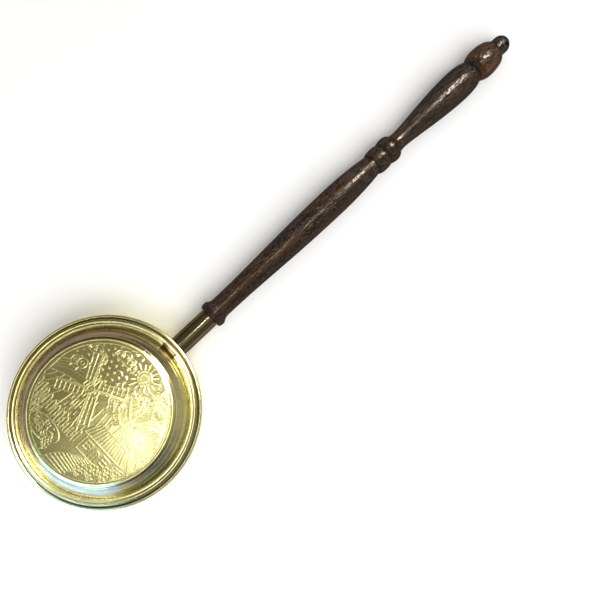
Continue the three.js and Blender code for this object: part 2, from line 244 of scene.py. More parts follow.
class Recipe:
    """The nodes of one material or of the world."""

    def __init__(self, tree: bpy.types.NodeTree) -> None:
        """Starts from an empty tree."""
        self.tree = tree
        tree.nodes.clear()

    def node(
        self,
        kind: str,
        settings: Optional[dict[str, Any]] = None,
        sockets: Optional[dict[Union[str, int], Value]] = None,
        output: Union[str, int] = 0,
    ) -> Wire:
        """Adds one node.

        Args:
            kind: The node's type.
            settings: Its settings, by name.
            sockets: The values or links of its inputs, by name, identifier or place.
            output: The output that is wanted.

        Returns:
            The wire that leaves that output.
        """
        made = self.tree.nodes.new(kind)
        for name, value in (settings or {}).items():
            setattr(made, name, value)
        for name, value in (sockets or {}).items():
            self._feed(self._socket(made.inputs, name), value)
        return Wire(self, self._socket(made.outputs, output))

    @staticmethod
    def _socket(sockets: Any, name: Union[str, int]) -> bpy.types.NodeSocket:
        """Finds a socket by its place, identifier or name."""
        if isinstance(name, int):
            return sockets[name]
        return next(s for s in sockets if name in (s.identifier, s.name))

    def _feed(self, socket: bpy.types.NodeSocket, value: Value) -> None:
        """Links a wire to a socket, or sets the socket's own value."""
        if isinstance(value, Wire):
            self.tree.links.new(value.socket, socket)
        elif isinstance(value, (int, float)):
            socket.default_value = value
        else:
            wanted = len(socket.default_value)
            socket.default_value = (*value, 1.0)[:wanted]

    def place(self) -> Wire:
        """Gives the place on the object, in metres."""
        return self.node("ShaderNodeTexCoord", output="Object")

    def scaled(self, vector: Wire, scale: Sequence[float]) -> Wire:
        """Gives a vector times another."""
        return self.node("ShaderNodeVectorMath", {"operation": "MULTIPLY"}, {0: vector, 1: scale})

    def parts(self, vector: Wire) -> tuple[Wire, Wire, Wire]:
        """Gives the three numbers of a vector."""
        made = self.node("ShaderNodeSeparateXYZ", sockets={"Vector": vector})
        return (made, *(Wire(self, made.socket.node.outputs[i]) for i in (1, 2)))

    def noise(self, at: Wire, scale: float, detail: float = 3.0, roughness: float = 0.5) -> Wire:
        """Gives a soft noise between 0 and 1."""
        sockets = {"Vector": at, "Scale": scale, "Detail": detail, "Roughness": roughness}
        return self.node("ShaderNodeTexNoise", sockets=sockets, output="Fac")

    def mix(self, share: Value, first: Value, second: Value) -> Wire:
        """Gives a blend of two colours."""
        sockets = {"Factor_Float": share, "A_Color": first, "B_Color": second}
        return self.node("ShaderNodeMix", {"data_type": "RGBA"}, sockets, "Result_Color")

    def stored(self, name: str) -> Wire:
        """Gives a number that the mesh stores for each corner."""
        return self.node("ShaderNodeAttribute", {"attribute_name": name}, output="Fac")

    def bump(self, height: Wire, distance: float, under: Optional[Wire] = None) -> Wire:
        """Gives a normal that is tilted by a height between 0 and 1 times a distance in metres."""
        sockets: dict[Union[str, int], Value] = {"Height": height, "Distance": distance}
        if under:
            sockets["Normal"] = under
        return self.node("ShaderNodeBump", sockets=sockets)

    def principled(self, sockets: dict[Union[str, int], Value]) -> Wire:
        """Gives a Principled shader."""
        return self.node("ShaderNodeBsdfPrincipled", sockets=sockets)

    def end(self, shader: Wire, kind: str = "ShaderNodeOutputMaterial") -> None:
        """Ends the tree with the given shader."""
        output = self.tree.nodes.new(kind)
        self.tree.links.new(shader.socket, output.inputs["Surface"])


# --- finishes -----------------------------------------------------------------------------------


@dataclass(frozen=True)
class Finish:
    """A finish that a piece wears."""

    name: str

    def material(self) -> bpy.types.Material:
        """Makes the finish's material."""
        made = bpy.data.materials.new(self.name)
        made.use_nodes = True
        self.fill(Recipe(made.node_tree))
        return made

    def fill(self, recipe: Recipe) -> None:
        """Adds the finish's nodes."""
        raise NotImplementedError


@dataclass(frozen=True)
class TurningMarks:
    """Fine lines that a spinning tool leaves round the upright axis."""

    pitch: float
    depth: float

    def height(self, recipe: Recipe, at: Wire) -> Wire:
        """Gives the lines' height, uneven as a hand tool leaves them."""
        x, y, z = recipe.parts(at)
        reach = (x * x + y * y) ** 0.5 + z * 0.7
        drift = recipe.noise(at, 60.0, 2.0)
        turns = reach * (TURN / (self.pitch * MM)) + drift * 5.0
        coarse = reach * (TURN / (self.pitch * MM * 3.7)) + drift * 9.0
        return turns.wave() * 0.3 + coarse.wave() * 0.2 + 0.5


@dataclass(frozen=True)
class Brass(Finish):
    """Polished brass dulled by handling, with painted shade, dark reflections and highlights."""

    clean: Colour = (0.76, 0.69, 0.29)
    dull: Colour = (0.50, 0.44, 0.19)
    reflected_brown: Colour = (0.165, 0.112, 0.066)
    # The next four colours are painted: two dark reflections, shade mixed with grime, and a
    # highlight.
    grime_and_shade_colour: Colour = (0.10, 0.08, 0.045)
    reflected_olive: Colour = (0.12, 0.12, 0.085)
    bright: Colour = (0.95, 0.92, 0.72)
    speck: Colour = (0.16, 0.10, 0.045)
    edge: Colour = (1.0, 1.0, 1.0)
    roughness: float = 0.14
    marks: Optional[TurningMarks] = None
    scored: tuple[float, ...] = ()
    spotted: float = 0.35

    def fill(self, recipe: Recipe) -> None:
        """Adds the finish's nodes."""
        at = recipe.place()
        clouds = recipe.noise(at, 38.0, 4.0, 0.6)
        smudges = recipe.noise(recipe.scaled(at, (1.0, 1.6, 1.0)), 120.0, 5.0, 0.62)
        specks = recipe.noise(at, 620.0, 2.0, 0.5).step(0.63, 0.71)
        # Painted shade, mixed with grime and random smudges, where the mesh marks grooves and
        # recesses.
        soil = (recipe.stored("soil") + (smudges - 0.5) * 0.35).step(0.08, 0.95)
        dulled = clouds.step(0.42, 0.72) * 0.55 + smudges.step(0.5, 0.7) * 0.25
        colour = recipe.mix(dulled, self.clean, self.dull)
        x, y, _ = recipe.parts(at)
        # Painted dark reflection, partly tarnish: brown towards +Y and olive towards -Y, where the
        # mesh marks it.
        tarnish = recipe.stored("tarnish")
        dark_reflection = recipe.mix(y.step(-0.055, 0.02), self.reflected_olive, self.reflected_brown)
        colour = recipe.mix(tarnish * (0.75 + clouds * 0.4), colour, dark_reflection)
        # Painted highlight: a pale colour where the mesh marks it.
        colour = recipe.mix(recipe.stored("polish"), colour, self.bright)
        colour = recipe.mix(specks * self.spotted, colour, self.speck)
        colour = recipe.mix(soil, colour, self.grime_and_shade_colour)
        rough = self.roughness + dulled * 0.12 + smudges * 0.05 + soil * 0.25 + specks * 0.15
        scratches = recipe.noise(recipe.scaled(at, (0.25, 3.0, 1.0)), 800.0, 3.0, 0.6)
        normal = recipe.bump(smudges, 0.00006)
        normal = recipe.bump(scratches, 0.000012, normal)
        if self.marks:
            normal = recipe.bump(self.marks.height(recipe, at), self.marks.depth * MM, normal)
        for radius in self.scored:
            away = ((x * x + y * y) ** 0.5 - radius * MM).size()
            normal = recipe.bump(1.0 - away.step(0.0, 0.0007), 0.00016, normal)
        sockets = {
            "Base Color": colour,
            "Metallic": 1.0,
            "Roughness": rough,
            "Normal": normal,
            "Specular Tint": self.edge,
        }
        recipe.end(recipe.principled(sockets))


@dataclass(frozen=True)
class PressedBrass(Finish):
    """The lid's picture: bright raised lines on a matted, darker ground."""

    raised: Colour = (0.54, 0.50, 0.22)
    ground: Colour = (0.42, 0.38, 0.175)
    grime_and_shade_colour: Colour = (0.08, 0.062, 0.028)

    def fill(self, recipe: Recipe) -> None:
        """Adds the finish's nodes."""
        at = recipe.place()
        lift = recipe.stored("lift")
        cloud = recipe.noise(at, 45.0, 3.0, 0.55)
        grain = recipe.noise(at, 1500.0, 2.0, 0.6)
        line = (lift + (grain - 0.5) * 0.3 + (cloud - 0.5) * 0.2).step(0.25, 0.8)
        colour = recipe.mix(line, self.ground, self.raised)
        # Darker where the mesh marks it, which is the crown's underside.
        soil = recipe.stored("soil")
        colour = recipe.mix(soil.step(0.2, 1.0) * 0.8, colour, self.grime_and_shade_colour)
        rough = 0.12 + line * 0.10 + grain * 0.04 + cloud.step(0.45, 0.7) * 0.05
        normal = recipe.bump(grain, 0.00002)
        normal = recipe.bump(recipe.noise(at, 260.0, 3.0), 0.00003, normal)
        sockets = {"Base Color": colour, "Metallic": 1.0, "Roughness": rough, "Normal": normal}
        recipe.end(recipe.principled(sockets))


@dataclass(frozen=True)
class Steel(Finish):
    """Plain steel with a little rust."""

    clean: Colour = (0.42, 0.41, 0.40)
    rust: Colour = (0.16, 0.085, 0.045)

    def fill(self, recipe: Recipe) -> None:
        """Adds the finish's nodes."""
        at = recipe.place()
        patches = recipe.noise(at, 300.0, 4.0, 0.65).step(0.5, 0.68)
        sockets = {
            "Base Color": recipe.mix(patches, self.clean, self.rust),
            "Metallic": 1.0 - patches * 0.7,
            "Roughness": 0.32 + patches * 0.4,
            "Normal": recipe.bump(recipe.noise(at, 900.0, 3.0), 0.00004),
        }
        recipe.end(recipe.principled(sockets))


@dataclass(frozen=True)
class LacqueredWood(Finish):
    """Dark stained wood under glossy lacquer, with grain along the handle."""

    dark: Colour = (0.006, 0.0032, 0.0018)
    middle: Colour = (0.021, 0.0082, 0.0032)
    warm: Colour = (0.068, 0.025, 0.0072)
    knob: Colour = (0.150, 0.052, 0.011)
    pore: Colour = (0.006, 0.004, 0.003)
    grime_and_shade_colour: Colour = (0.012, 0.008, 0.006)
    sheen: Colour = (1.0, 0.86, 0.70)
    gloss: float = 0.12
    ior: float = 1.25
    knob_start: Point = (0.434, 0.442)

    def fill(self, recipe: Recipe) -> None:
        """Adds the finish's nodes."""
        at = recipe.place()
        x = recipe.parts(at)[0]
        figure = recipe.noise(recipe.scaled(at, (1.0, 7.0, 7.0)), 14.0, 4.0, 0.6)
        streaks = recipe.noise(recipe.scaled(at, (1.0, 22.0, 22.0)), 42.0, 4.0, 0.65)
        pores = recipe.noise(recipe.scaled(at, (1.0, 14.0, 14.0)), 170.0, 2.0, 0.5).step(0.60, 0.72)
        worn = recipe.noise(at, 55.0, 5.0, 0.7)
        chips = recipe.noise(recipe.scaled(at, (1.0, 2.2, 2.2)), 300.0, 3.0, 0.6).step(0.48, 0.62)
        knob = x.step(*self.knob_start)
        warm = (figure - 0.45).step(0.0, 0.30)
        colour = recipe.mix(streaks.step(0.36, 0.66), self.dark, self.middle)
        colour = recipe.mix(warm * streaks.step(0.30, 0.62), colour, self.warm)
        colour = recipe.mix(knob * streaks.step(0.46, 0.66) * 0.85, colour, self.knob)
        colour = recipe.mix(pores * 0.8, colour, self.pore)
        # Painted shade, mixed with grime, in the grooves where the mesh marks them.
        soil = recipe.stored("soil")
        colour = recipe.mix(soil.step(0.15, 0.9) * 0.8, colour, self.grime_and_shade_colour)
        rough = self.gloss + worn.step(0.5, 0.75) * 0.10
        rough = rough + pores * 0.15 + soil * 0.15 + chips * 0.14
        normal = recipe.bump(recipe.noise(at, 240.0, 3.0, 0.6), 0.00008)
        normal = recipe.bump(chips, 0.00024, normal)
        normal = recipe.bump(1.0 - pores, 0.00005, normal)
        sockets = {
            "Base Color": colour,
            "Roughness": rough,
            "IOR": self.ior,
            "Specular Tint": self.sheen,
            "Normal": normal,
        }
        lacquer = recipe.principled(sockets)
        sockets = {"Base Color": colour, "Roughness": 1.0, "Specular IOR Level": 0.0}
        bare = recipe.principled(sockets)
        aside = recipe.node("ShaderNodeLayerWeight", sockets={"Blend": 0.5}, output="Facing")
        sockets = {0: aside.step(0.3, 0.6) * 0.75, 1: lacquer, 2: bare}
        recipe.end(recipe.node("ShaderNodeMixShader", sockets=sockets))


# --- pieces -------------------------------------------------------------------------------------


class Body(Enum):
    """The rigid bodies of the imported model."""

    PAN = "pan"
    LID = "lid"


class Slot(Enum):
    """The material slots of the record."""

    BRASS = "brass"
    STEEL = "steel"
    WOOD = "dark_wood"
    EBONY = "black_wood"


class Axis(Enum):
    """The line that a piece is turned about."""

    UP = "up"
    HANDLE = "along the handle"


@dataclass(frozen=True)
class Lean:
    """The handle's slope: it leaves the pan's wall and comes down until its knob stands."""

    height: float
    knob_radius: float
    wall: float
    knob: float

    @property
    def angle(self) -> float:
        """The angle below level, in radians."""
        return math.asin((self.height - self.knob_radius) / (self.knob - self.wall))

    @property
    def origin(self) -> float:
        """The height of the handle's axis above the pan's centre."""
        return self.height + self.wall * math.tan(self.angle)

    def matrix(self) -> Matrix:
        """The place of a piece that is modelled level along X."""
        return Matrix.Translation((0, 0, self.origin)) @ Matrix.Rotation(self.angle, 4, "Y")


def turned(outline: Line, segments: int, axis: Axis = Axis.UP) -> tuple[Corners, Faces]:
    """Turns an outline about an axis.

    Args:
        outline: Points of (radius, height), or of (place along the handle, radius). It runs
            from axis to axis, or it is a ring whose last point joins its first.
        segments: The number of steps round the axis.
        axis: The axis.

    Returns:
        The corners and faces of a closed mesh that faces out.
    """
    corners: Corners = []
    rings: list[list[int]] = []
    for at in outline:
        radius, along = at if axis is Axis.UP else (at[1], at[0])
        count = 1 if radius < 1e-6 else segments
        rings.append(list(range(len(corners), len(corners) + count)))
        for step in range(count):
            angle = TURN * step / segments
            first, second = radius * math.cos(angle), radius * math.sin(angle)
            corners.append((first, second, along) if axis is Axis.UP else (along, first, second))
    following = rings[1:] if len(rings[0]) == 1 else rings[1:] + rings[:1]
    faces: Faces = []
    for low, high in zip(rings, following):
        for step in range(segments):
            after = (step + 1) % segments
            if len(low) == 1 and len(high) == 1:
                continue
            if len(low) == 1:
                faces.append((low[0], high[after], high[step]))
            elif len(high) == 1:
                faces.append((low[step], low[after], high[0]))
            else:
                faces.append((low[step], low[after], high[after], high[step]))
    return corners, faces


def box(low: Sequence[float], high: Sequence[float]) -> tuple[Corners, Faces]:
    """Gives the corners and faces of a box between its lowest and its highest corner."""
    xs, ys, zs = zip(low, high)
    corners = [(x, y, z) for x in xs for y in ys for z in zs]
    faces = [(0, 1, 3, 2), (4, 6, 7, 5), (0, 4, 5, 1), (2, 3, 7, 6), (0, 2, 6, 4), (1, 5, 7, 3)]
    return corners, faces


def tube_faces(rings: int, around: int) -> Faces:
    """Gives the faces of a tube that closes on itself.

    Args:
        rings: The number of its rings of corners. The last one joins the first.
        around: The number of corners in each ring.

    Returns:
        The corners of each face.
    """
    faces: Faces = []
    for ring in range(rings):
        here, there = ring * around, (ring + 1) % rings * around
        for step in range(around):
            after = (step + 1) % around
            faces.append((here + step, there + step, there + after, here + after))
    return faces


@dataclass
class Piece:
    """One visible mesh of the object."""

    name: str
    body: Body
    slot: Slot
    nodes: tuple[str, ...]
    made: bpy.types.Object = field(init=False)

    def build(
        self, corners: Iterable[Sequence[float]], faces: Faces, place: Optional[Matrix] = None
    ) -> None:
        """Makes the mesh.

        Args:
            corners: Its corners, in millimetres.
            faces: The corners of each face.
            place: Where it goes, if it isn't modelled in place.
        """
        mesh = bpy.data.meshes.new(self.name)
        mesh.from_pydata([tuple(c) for c in corners], [], faces)
        if place:
            mesh.transform(place)
        mesh.transform(Matrix.Scale(MM, 4))
        mesh.update()
        self.made = bpy.data.objects.new(self.name, mesh)
        bpy.context.scene.collection.objects.link(self.made)

    def _settle(self) -> None:
        """Gives the mesh the shape that its modifier makes, and drops the modifier."""
        depsgraph = bpy.context.evaluated_depsgraph_get()
        result = bpy.data.meshes.new_from_object(self.made.evaluated_get(depsgraph))
        self.made.modifiers.clear()
        self.made.data = result

    def cut(
        self, corners: Iterable[Sequence[float]], faces: Faces, place: Optional[Matrix] = None
    ) -> None:
        """Cuts a closed shape out of the mesh.

        Args:
            corners: The shape's corners, in millimetres.
            faces: The corners of each of its faces.
            place: Where it goes, if it isn't modelled in place.
        """
        cutter = Piece(self.name + "_cutter", self.body, self.slot, ())
        cutter.build(corners, faces, place)
        modifier = self.made.modifiers.new("cut", "BOOLEAN")
        modifier.operation = "DIFFERENCE"
        modifier.solver = "EXACT"
        modifier.object = cutter.made
        self._settle()
        bpy.data.objects.remove(cutter.made)

    def soften(self, width: float, segments: int = 2) -> None:
        """Rounds the sharp edges by a width in millimetres."""
        modifier = self.made.modifiers.new("soft edges", "BEVEL")
        modifier.width = width * MM
        modifier.segments = segments
        modifier.limit_method = "ANGLE"
        modifier.angle_limit = math.radians(50)
        modifier.harden_normals = False
        self._settle()

    def places(self) -> np.ndarray:
        """Gives the places of the mesh's corners, in millimetres."""
        flat = np.empty(len(self.made.data.vertices) * 3, dtype=np.float32)
        self.made.data.vertices.foreach_get("co", flat)
        return flat.reshape(-1, 3) / MM

    def mark(self, name: str, values: np.ndarray) -> None:
        """Stores a number for each corner, for the finish to read."""
        layer = self.made.data.attributes.new(name, "FLOAT", "POINT")
        layer.data.foreach_set("value", np.ascontiguousarray(values, dtype=np.float32))

    def dress(self, finish: Finish, crease: float = 38.0) -> None:
        """Gives the mesh its finish, and joins it to its body.

        Args:
            finish: The finish.
            crease: The angle, in degrees, above which an edge stays sharp.
        """
        mesh = self.made.data
        mesh.shade_smooth()
        mesh.set_sharp_from_angle(angle=math.radians(crease))
        mesh.materials.clear()
        mesh.materials.append(finish.material())
        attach(self.made, self.body.value)
        if self.nodes:
            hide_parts(*self.nodes)
        count, body = len(mesh.polygons), self.body.value
        log.info("%s: %d faces, %s, on body %s", self.name, count, finish.name, body)


def near_ring(places: np.ndarray, radius: float, height: float, reach: float) -> np.ndarray:
    """Tells how near each corner is to a ring about Z.

    Args:
        places: The corners' places.
        radius: The ring's radius.
        height: Its height.
        reach: The distance at which nothing is left.

    Returns:
        1 on the ring, falling to 0 at the reach.
    """
    out = np.hypot(places[:, 0], places[:, 1]) - radius
    away = np.hypot(out, places[:, 2] - height)
    return eased(1.0 - away / reach)


# --- the pan ------------------------------------------------------------------------------------


@dataclass
class Pan:
    """The raised brass pan, rolled over a wire at its rim, with a ledge that carries the lid."""

    sheet: float = 0.7
    radius: float = 76.2
    rim_height: float = 36.2
    wire_radius: float = 0.55
    wire_play: float = 0.2
    corner_run: float = 20.0
    corner_rise: float = 12.0
    ledge_drop: float = 0.85
    ledge_width: float = 3.7
    ledge_bend: float = 0.5
    thinning: float = 0.012
    segments: int = 216

    @property
    def curl(self) -> float:
        """The radius of the sheet's middle round the wire."""
        return self.wire_radius + self.wire_play + self.sheet / 2

    @property
    def bead_radius(self) -> float:
        """The distance of the rim's wire from the centre."""
        return self.radius - self.curl - self.sheet / 2

    @property
    def ledge_height(self) -> float:
        """The height of the middle of the ledge."""
        return self.rim_height - self.ledge_drop

    @property
    def ledge_outer(self) -> float:
        """The radius at which the ledge turns up into the rim."""
        return self.bead_radius - self.curl

    @property
    def wall(self) -> float:
        """The radius of the middle of the wall."""
        return self.ledge_outer - self.ledge_width

    @property
    def wall_face(self) -> float:
        """The radius of the outside of the wall."""
        return self.wall + self.sheet / 2

    def bowl_line(self) -> Line:
        """Gives the middle of the sheet from the centre to below the ledge."""
        centre = (self.wall - self.corner_run, self.corner_rise + self.sheet / 2)
        corner = arc(centre, (self.corner_run, self.corner_rise), -QUARTER, 0, 26)
        flat = straight((0.0, self.sheet / 2), corner[0], 8)
        side = straight(corner[-1], (self.wall, self.ledge_height - self.ledge_bend), 6)
        return joined(flat, corner, side)

    def rim_line(self) -> Line:
        """Gives the middle of the sheet from the ledge to the end of the rolled rim."""
        bend = (self.ledge_bend, self.ledge_bend)
        inner = (self.wall + self.ledge_bend, self.ledge_height - self.ledge_bend)
        outer = (self.ledge_outer - self.ledge_bend, self.ledge_height + self.ledge_bend)
        wire = (self.bead_radius, self.rim_height)
        return joined(
            arc(inner, bend, math.pi, QUARTER, 5)[1:],
            arc(outer, bend, -QUARTER, 0, 5),
            arc(wire, (self.curl, self.curl), math.pi, -0.64 * math.pi, 26),
        )

    def build(self) -> None:
        """Makes the pan and the wire in its rim."""
        line = joined(self.bowl_line(), self.rim_line())
        outline = sheet_outline(line, self.sheet - self.thinning)
        pan = Piece("pan_raised", Body.PAN, Slot.BRASS, ("pan",))
        pan.build(*turned(outline, self.segments))
        at = pan.places()
        # Painted shade, mixed with grime, in the ledge's groove and under the rolled rim.
        on_ledge = near_ring(at, self.ledge_outer - 0.3, self.ledge_height + 0.3, 2.2)
        under_rim = near_ring(at, self.bead_radius - 0.8, self.rim_height - 2.0, 2.2)
        pan.mark("soil", np.maximum(on_ledge, 0.75 * under_rim))
        # Darker towards the rim's top, in the finish's painted reflection colours.
        pan.mark("tarnish", 0.45 * eased((at[:, 2] - self.rim_height + 6.0) / 4.0))
        marks = TurningMarks(pitch=1.1, depth=0.006)
        pan.dress(Brass("pan_brass", marks=marks, spotted=0.75))
        wire = Piece("pan_rim_wire_bright", Body.PAN, Slot.STEEL, ("pan_rim_wire",))
        middle = (self.bead_radius, self.rim_height)
        ring = loop(middle, (self.wire_radius, self.wire_radius), 16)
        wire.build(*turned(ring, self.segments))
        wire.dress(Steel("rim_wire_steel"))


# --- the picture pressed into the lid -----------------------------------------------------------


class PressedSheet:
    """Heights over the lid's crown, on a fine square grid, that tools press up from below."""

    PITCH = 0.14

    def __init__(self, radius: float) -> None:
        """Starts with a flat sheet."""
        self.radius = radius
        self.count = 2 * int(math.ceil(radius / self.PITCH)) + 1
        self.height = np.zeros((self.count, self.count), dtype=np.float32)
        ticks = (np.arange(self.count) - self.count // 2) * self.PITCH
        self.ticks = ticks.astype(np.float32)

    def _window(self, points: Sequence[Point], margin: float) -> tuple[slice, slice]:
        """Finds the part of the grid that holds some points and a margin round them."""
        low = np.min(points, axis=0) - margin
        high = np.max(points, axis=0) + margin
        first = np.clip(np.searchsorted(self.ticks, low), 0, self.count - 1)
        last = np.clip(np.searchsorted(self.ticks, high), 1, self.count)
        return slice(first[1], last[1]), slice(first[0], last[0])

    def _distance(self, start: Point, end: Point, window: tuple[slice, slice]) -> np.ndarray:
        """Gives the distance of each grid point in a window from a straight line."""
        right = self.ticks[window[1]][None, :]
        up = self.ticks[window[0]][:, None]
        run = (end[0] - start[0], end[1] - start[1])
        square = max(run[0] ** 2 + run[1] ** 2, 1e-9)
        share = ((right - start[0]) * run[0] + (up - start[1]) * run[1]) / square
        share = np.clip(share, 0.0, 1.0)
        return np.hypot(right - start[0] - share * run[0], up - start[1] - share * run[1])

    def line(self, points: Line, width: float = 0.8, height: float = 0.9) -> None:
        """Raises a rounded line.

        Args:
            points: The points that it passes.
            width: Its width where it leaves the ground, in millimetres.
            height: Its height, from 0 to 1.
        """
        for start, end in zip(points, points[1:]):
            window = self._window((start, end), width)
            away = self._distance(start, end, window)
            raised = height * eased(1.0 - away / (width * 0.72))
            self.height[window] = np.maximum(self.height[window], raised)

    def _inside(self, points: Line, window: tuple[slice, slice]) -> np.ndarray:
        """Tells which grid points in a window lie inside a closed shape."""
        right = self.ticks[window[1]][None, :]
        up = self.ticks[window[0]][:, None]
        held = np.zeros((up.shape[0], right.shape[1]), dtype=bool)
        for start, end in zip(points, points[1:] + points[:1]):
            crosses = (start[1] > up) != (end[1] > up)
            rise = end[1] - start[1] if end[1] != start[1] else 1e-9
            held ^= crosses & (right < start[0] + (up - start[1]) / rise * (end[0] - start[0]))
        return held

    def shape(self, points: Line, level: float = 0.3, edge: float = 0.8, rim: float = 0.95) -> None:
        """Clears a closed shape, raises it a little and gives it a raised edge.

        Args:
            points: Its corners.
            level: The height inside it, from 0 to 1.
            edge: The width of its raised edge, or 0 for none.
            rim: The height of that edge.
        """
        window = self._window(points, 1.0)
        held = self._inside(points, window)
        near = np.full(held.shape, 9.0, dtype=np.float32)
        for start, end in zip(points, points[1:] + points[:1]):
            near = np.minimum(near, self._distance(start, end, window))
        filled = level * eased(np.where(held, near, 0.0) / 0.6)
        self.height[window] = np.where(held, filled, self.height[window])
        if edge:
            self.line(points + points[:1], edge, rim)

    def dot(self, at: Point, size: float, height: float = 0.9) -> None:
        """Raises a round dot."""
        self.line([at, (at[0] + 1e-3, at[1])], size, height)

    def ring(self, at: Point, radius: float, width: float = 0.7, height: float = 0.9) -> None:
        """Raises a ring."""
        steps = max(10, int(radius * 5))
        self.line(arc(at, (radius, radius), 0, TURN, steps), width, height)

    def sampled(self, right: np.ndarray, up: np.ndarray) -> np.ndarray:
        """Gives the heights at any places, between the grid's own."""
        column = np.clip(right / self.PITCH + self.count // 2, 0, self.count - 1.001)
        row = np.clip(up / self.PITCH + self.count // 2, 0, self.count - 1.001)
        c, r = column.astype(int), row.astype(int)
        fc, fr = column - c, row - r
        low = self.height[r, c] * (1 - fc) + self.height[r, c + 1] * fc
        high = self.height[r + 1, c] * (1 - fc) + self.height[r + 1, c + 1] * fc
        return low * (1 - fr) + high * fr


@dataclass
class CountryPicture:
    """A generic country view: a mill, a cottage, a tree, a fence, ducks on a pond and flowers."""

    radius: float
    seed: int = 11
    sheet: PressedSheet = field(init=False)
    chance: random.Random = field(init=False)

    def __post_init__(self) -> None:
        """Prepares the sheet and the seeded chance."""
        self.sheet = PressedSheet(self.radius)
        self.chance = random.Random(self.seed)

    def press(self) -> PressedSheet:
        """Presses the whole picture, from back to front.

        Returns:
            The pressed sheet.
        """
        self._sky()
        self._hills()
        self._mill((-17.5, 7.0))
        self._tree((23.0, -3.0))
        self._cottage((21.0, -19.0))
        self._path()
        self._fence()
        self._pond((-21.0, -37.5))
        self._near_plants()
        self._wear((36.0, -4.0), 30.0)
        self._border()
        return self.sheet

    def _around(self, amount: float) -> float:
        """Gives a small seeded shift."""
        return self.chance.uniform(-amount, amount)

    def _sky(self) -> None:
        """Presses the sun, its rays, clouds, birds and punched rings."""
        for row in range(9):
            for column in range(19):
                at = (-47.0 + 5.4 * column + 2.7 * (row % 2), 19.0 + 4.4 * row)
                self.sheet.ring(at, 0.75, 0.7, 0.7)
        sun = (5.0, 41.5)
        self.sheet.shape(loop(sun, (12.4, 12.4), 40), 0.0, 0.0)
        for index in range(16):
            angle = TURN * index / 16
            reach = 12.6 if index % 2 else 10.2
            near = (sun[0] + 7.0 * math.cos(angle), sun[1] + 7.0 * math.sin(angle))
            far = (sun[0] + reach * math.cos(angle), sun[1] + reach * math.sin(angle))
            self.sheet.line([near, far], 1.0, 0.9)
        self.sheet.shape(loop(sun, (5.6, 5.6), 30), 0.5, 1.0)
        self.sheet.ring(sun, 3.0, 0.9, 0.95)
        for at, size in (((-15.0, 40.5), 1.05), ((-34.0, 29.0), 0.95), ((28.0, 40.0), 0.9)):
            self._cloud(at, size)
        for at in ((-9.0, 30.5), (13.5, 25.5), (-1.5, 24.5)):
            left = bezier((at, (at[0] - 2.0, at[1] + 3.2), (at[0] - 4.8, at[1] + 0.6)), 7)
            right = bezier((at, (at[0] + 2.0, at[1] + 3.2), (at[0] + 4.8, at[1] + 0.6)), 7)
            self.sheet.line(left, 1.0, 1.0)
            self.sheet.line(right, 1.0, 1.0)

    def _cloud(self, at: Point, size: float) -> None:
        """Presses a curly cloud."""
        humps = ((-6.4, 0.0, 3.2), (-2.2, 2.0, 4.0), (3.0, 1.2, 3.6), (7.2, -0.6, 2.8))
        base = at[1] - 2.4 * size
        crown: Line = []
        for shift, lift, reach in humps:
            middle = (at[0] + shift * size, at[1] + lift * size)
            crown += arc(middle, (reach * size, reach * size), 0.95 * math.pi, 0.08 * math.pi, 12)
        outline = [(crown[0][0], base), *crown, (crown[-1][0], base)]
        self.sheet.shape(outline, 0.12, 1.0)
        for shift, lift, reach in humps:
            middle = (at[0] + shift * size, at[1] + (lift - 0.2) * size)
            curl = arc(middle, (reach * size * 0.5, reach * size * 0.5), 0.0, 1.3 * math.pi, 10)
            self.sheet.line(curl, 0.8, 0.85)

    def _hills(self) -> None:
        """Presses two ranges of hills with ploughed slopes and small round trees."""
        far_corners = (
            (-52.0, 6.0), (-34.0, 24.0), (-14.0, 20.0), (0.3, 9.0),
            (14.0, 22.0), (30.0, 20.0), (52.0, 10.0),
        )
        near_corners = (
            (-52.0, -5.0), (-26.0, 10.0), (-6.0, 2.0),
            (8.0, 3.0), (24.0, 10.0), (52.0, -2.0),
        )
        far, near = bezier(far_corners, 40), bezier(near_corners, 40)
        self.sheet.shape(far + [(52.0, -60.0), (-52.0, -60.0)], 0.04, 1.0, 1.0)
        for drop in (2.8, 5.6, 8.4):
            self.sheet.line([(u, v - drop) for u, v in far], 0.8, 0.75)
        self.sheet.shape(near + [(52.0, -60.0), (-52.0, -60.0)], 0.06, 1.0, 1.0)
        for index in range(17):
            share = index / 16
            top = near[2 + int(share * 36)]
            foot = (-70.0 + 140.0 * share, -30.0)
            self.sheet.line(bezier((top, (top[0] * 1.02, top[1] - 8.0), foot), 12), 0.85, 0.8)
        for at, size in (
            ((-43.0, 13.5), 3.2),
            ((-37.0, 15.5), 3.8),
            ((1.0, 12.6), 3.4),
            ((6.6, 12.0), 2.8),
            ((45.0, 11.0), 3.4),
        ):
            self._bush(at, size)

    def _bush(self, at: Point, size: float) -> None:
        """Presses a small round tree."""
        self.sheet.line([(at[0], at[1] - size * 0.9), (at[0], at[1] - size * 1.9)], 1.2, 1.0)
        self.sheet.shape(loop(at, (size, size * 1.1), 20), 0.25, 1.0)
        self.sheet.ring(at, size * 0.42, 0.8, 0.9)

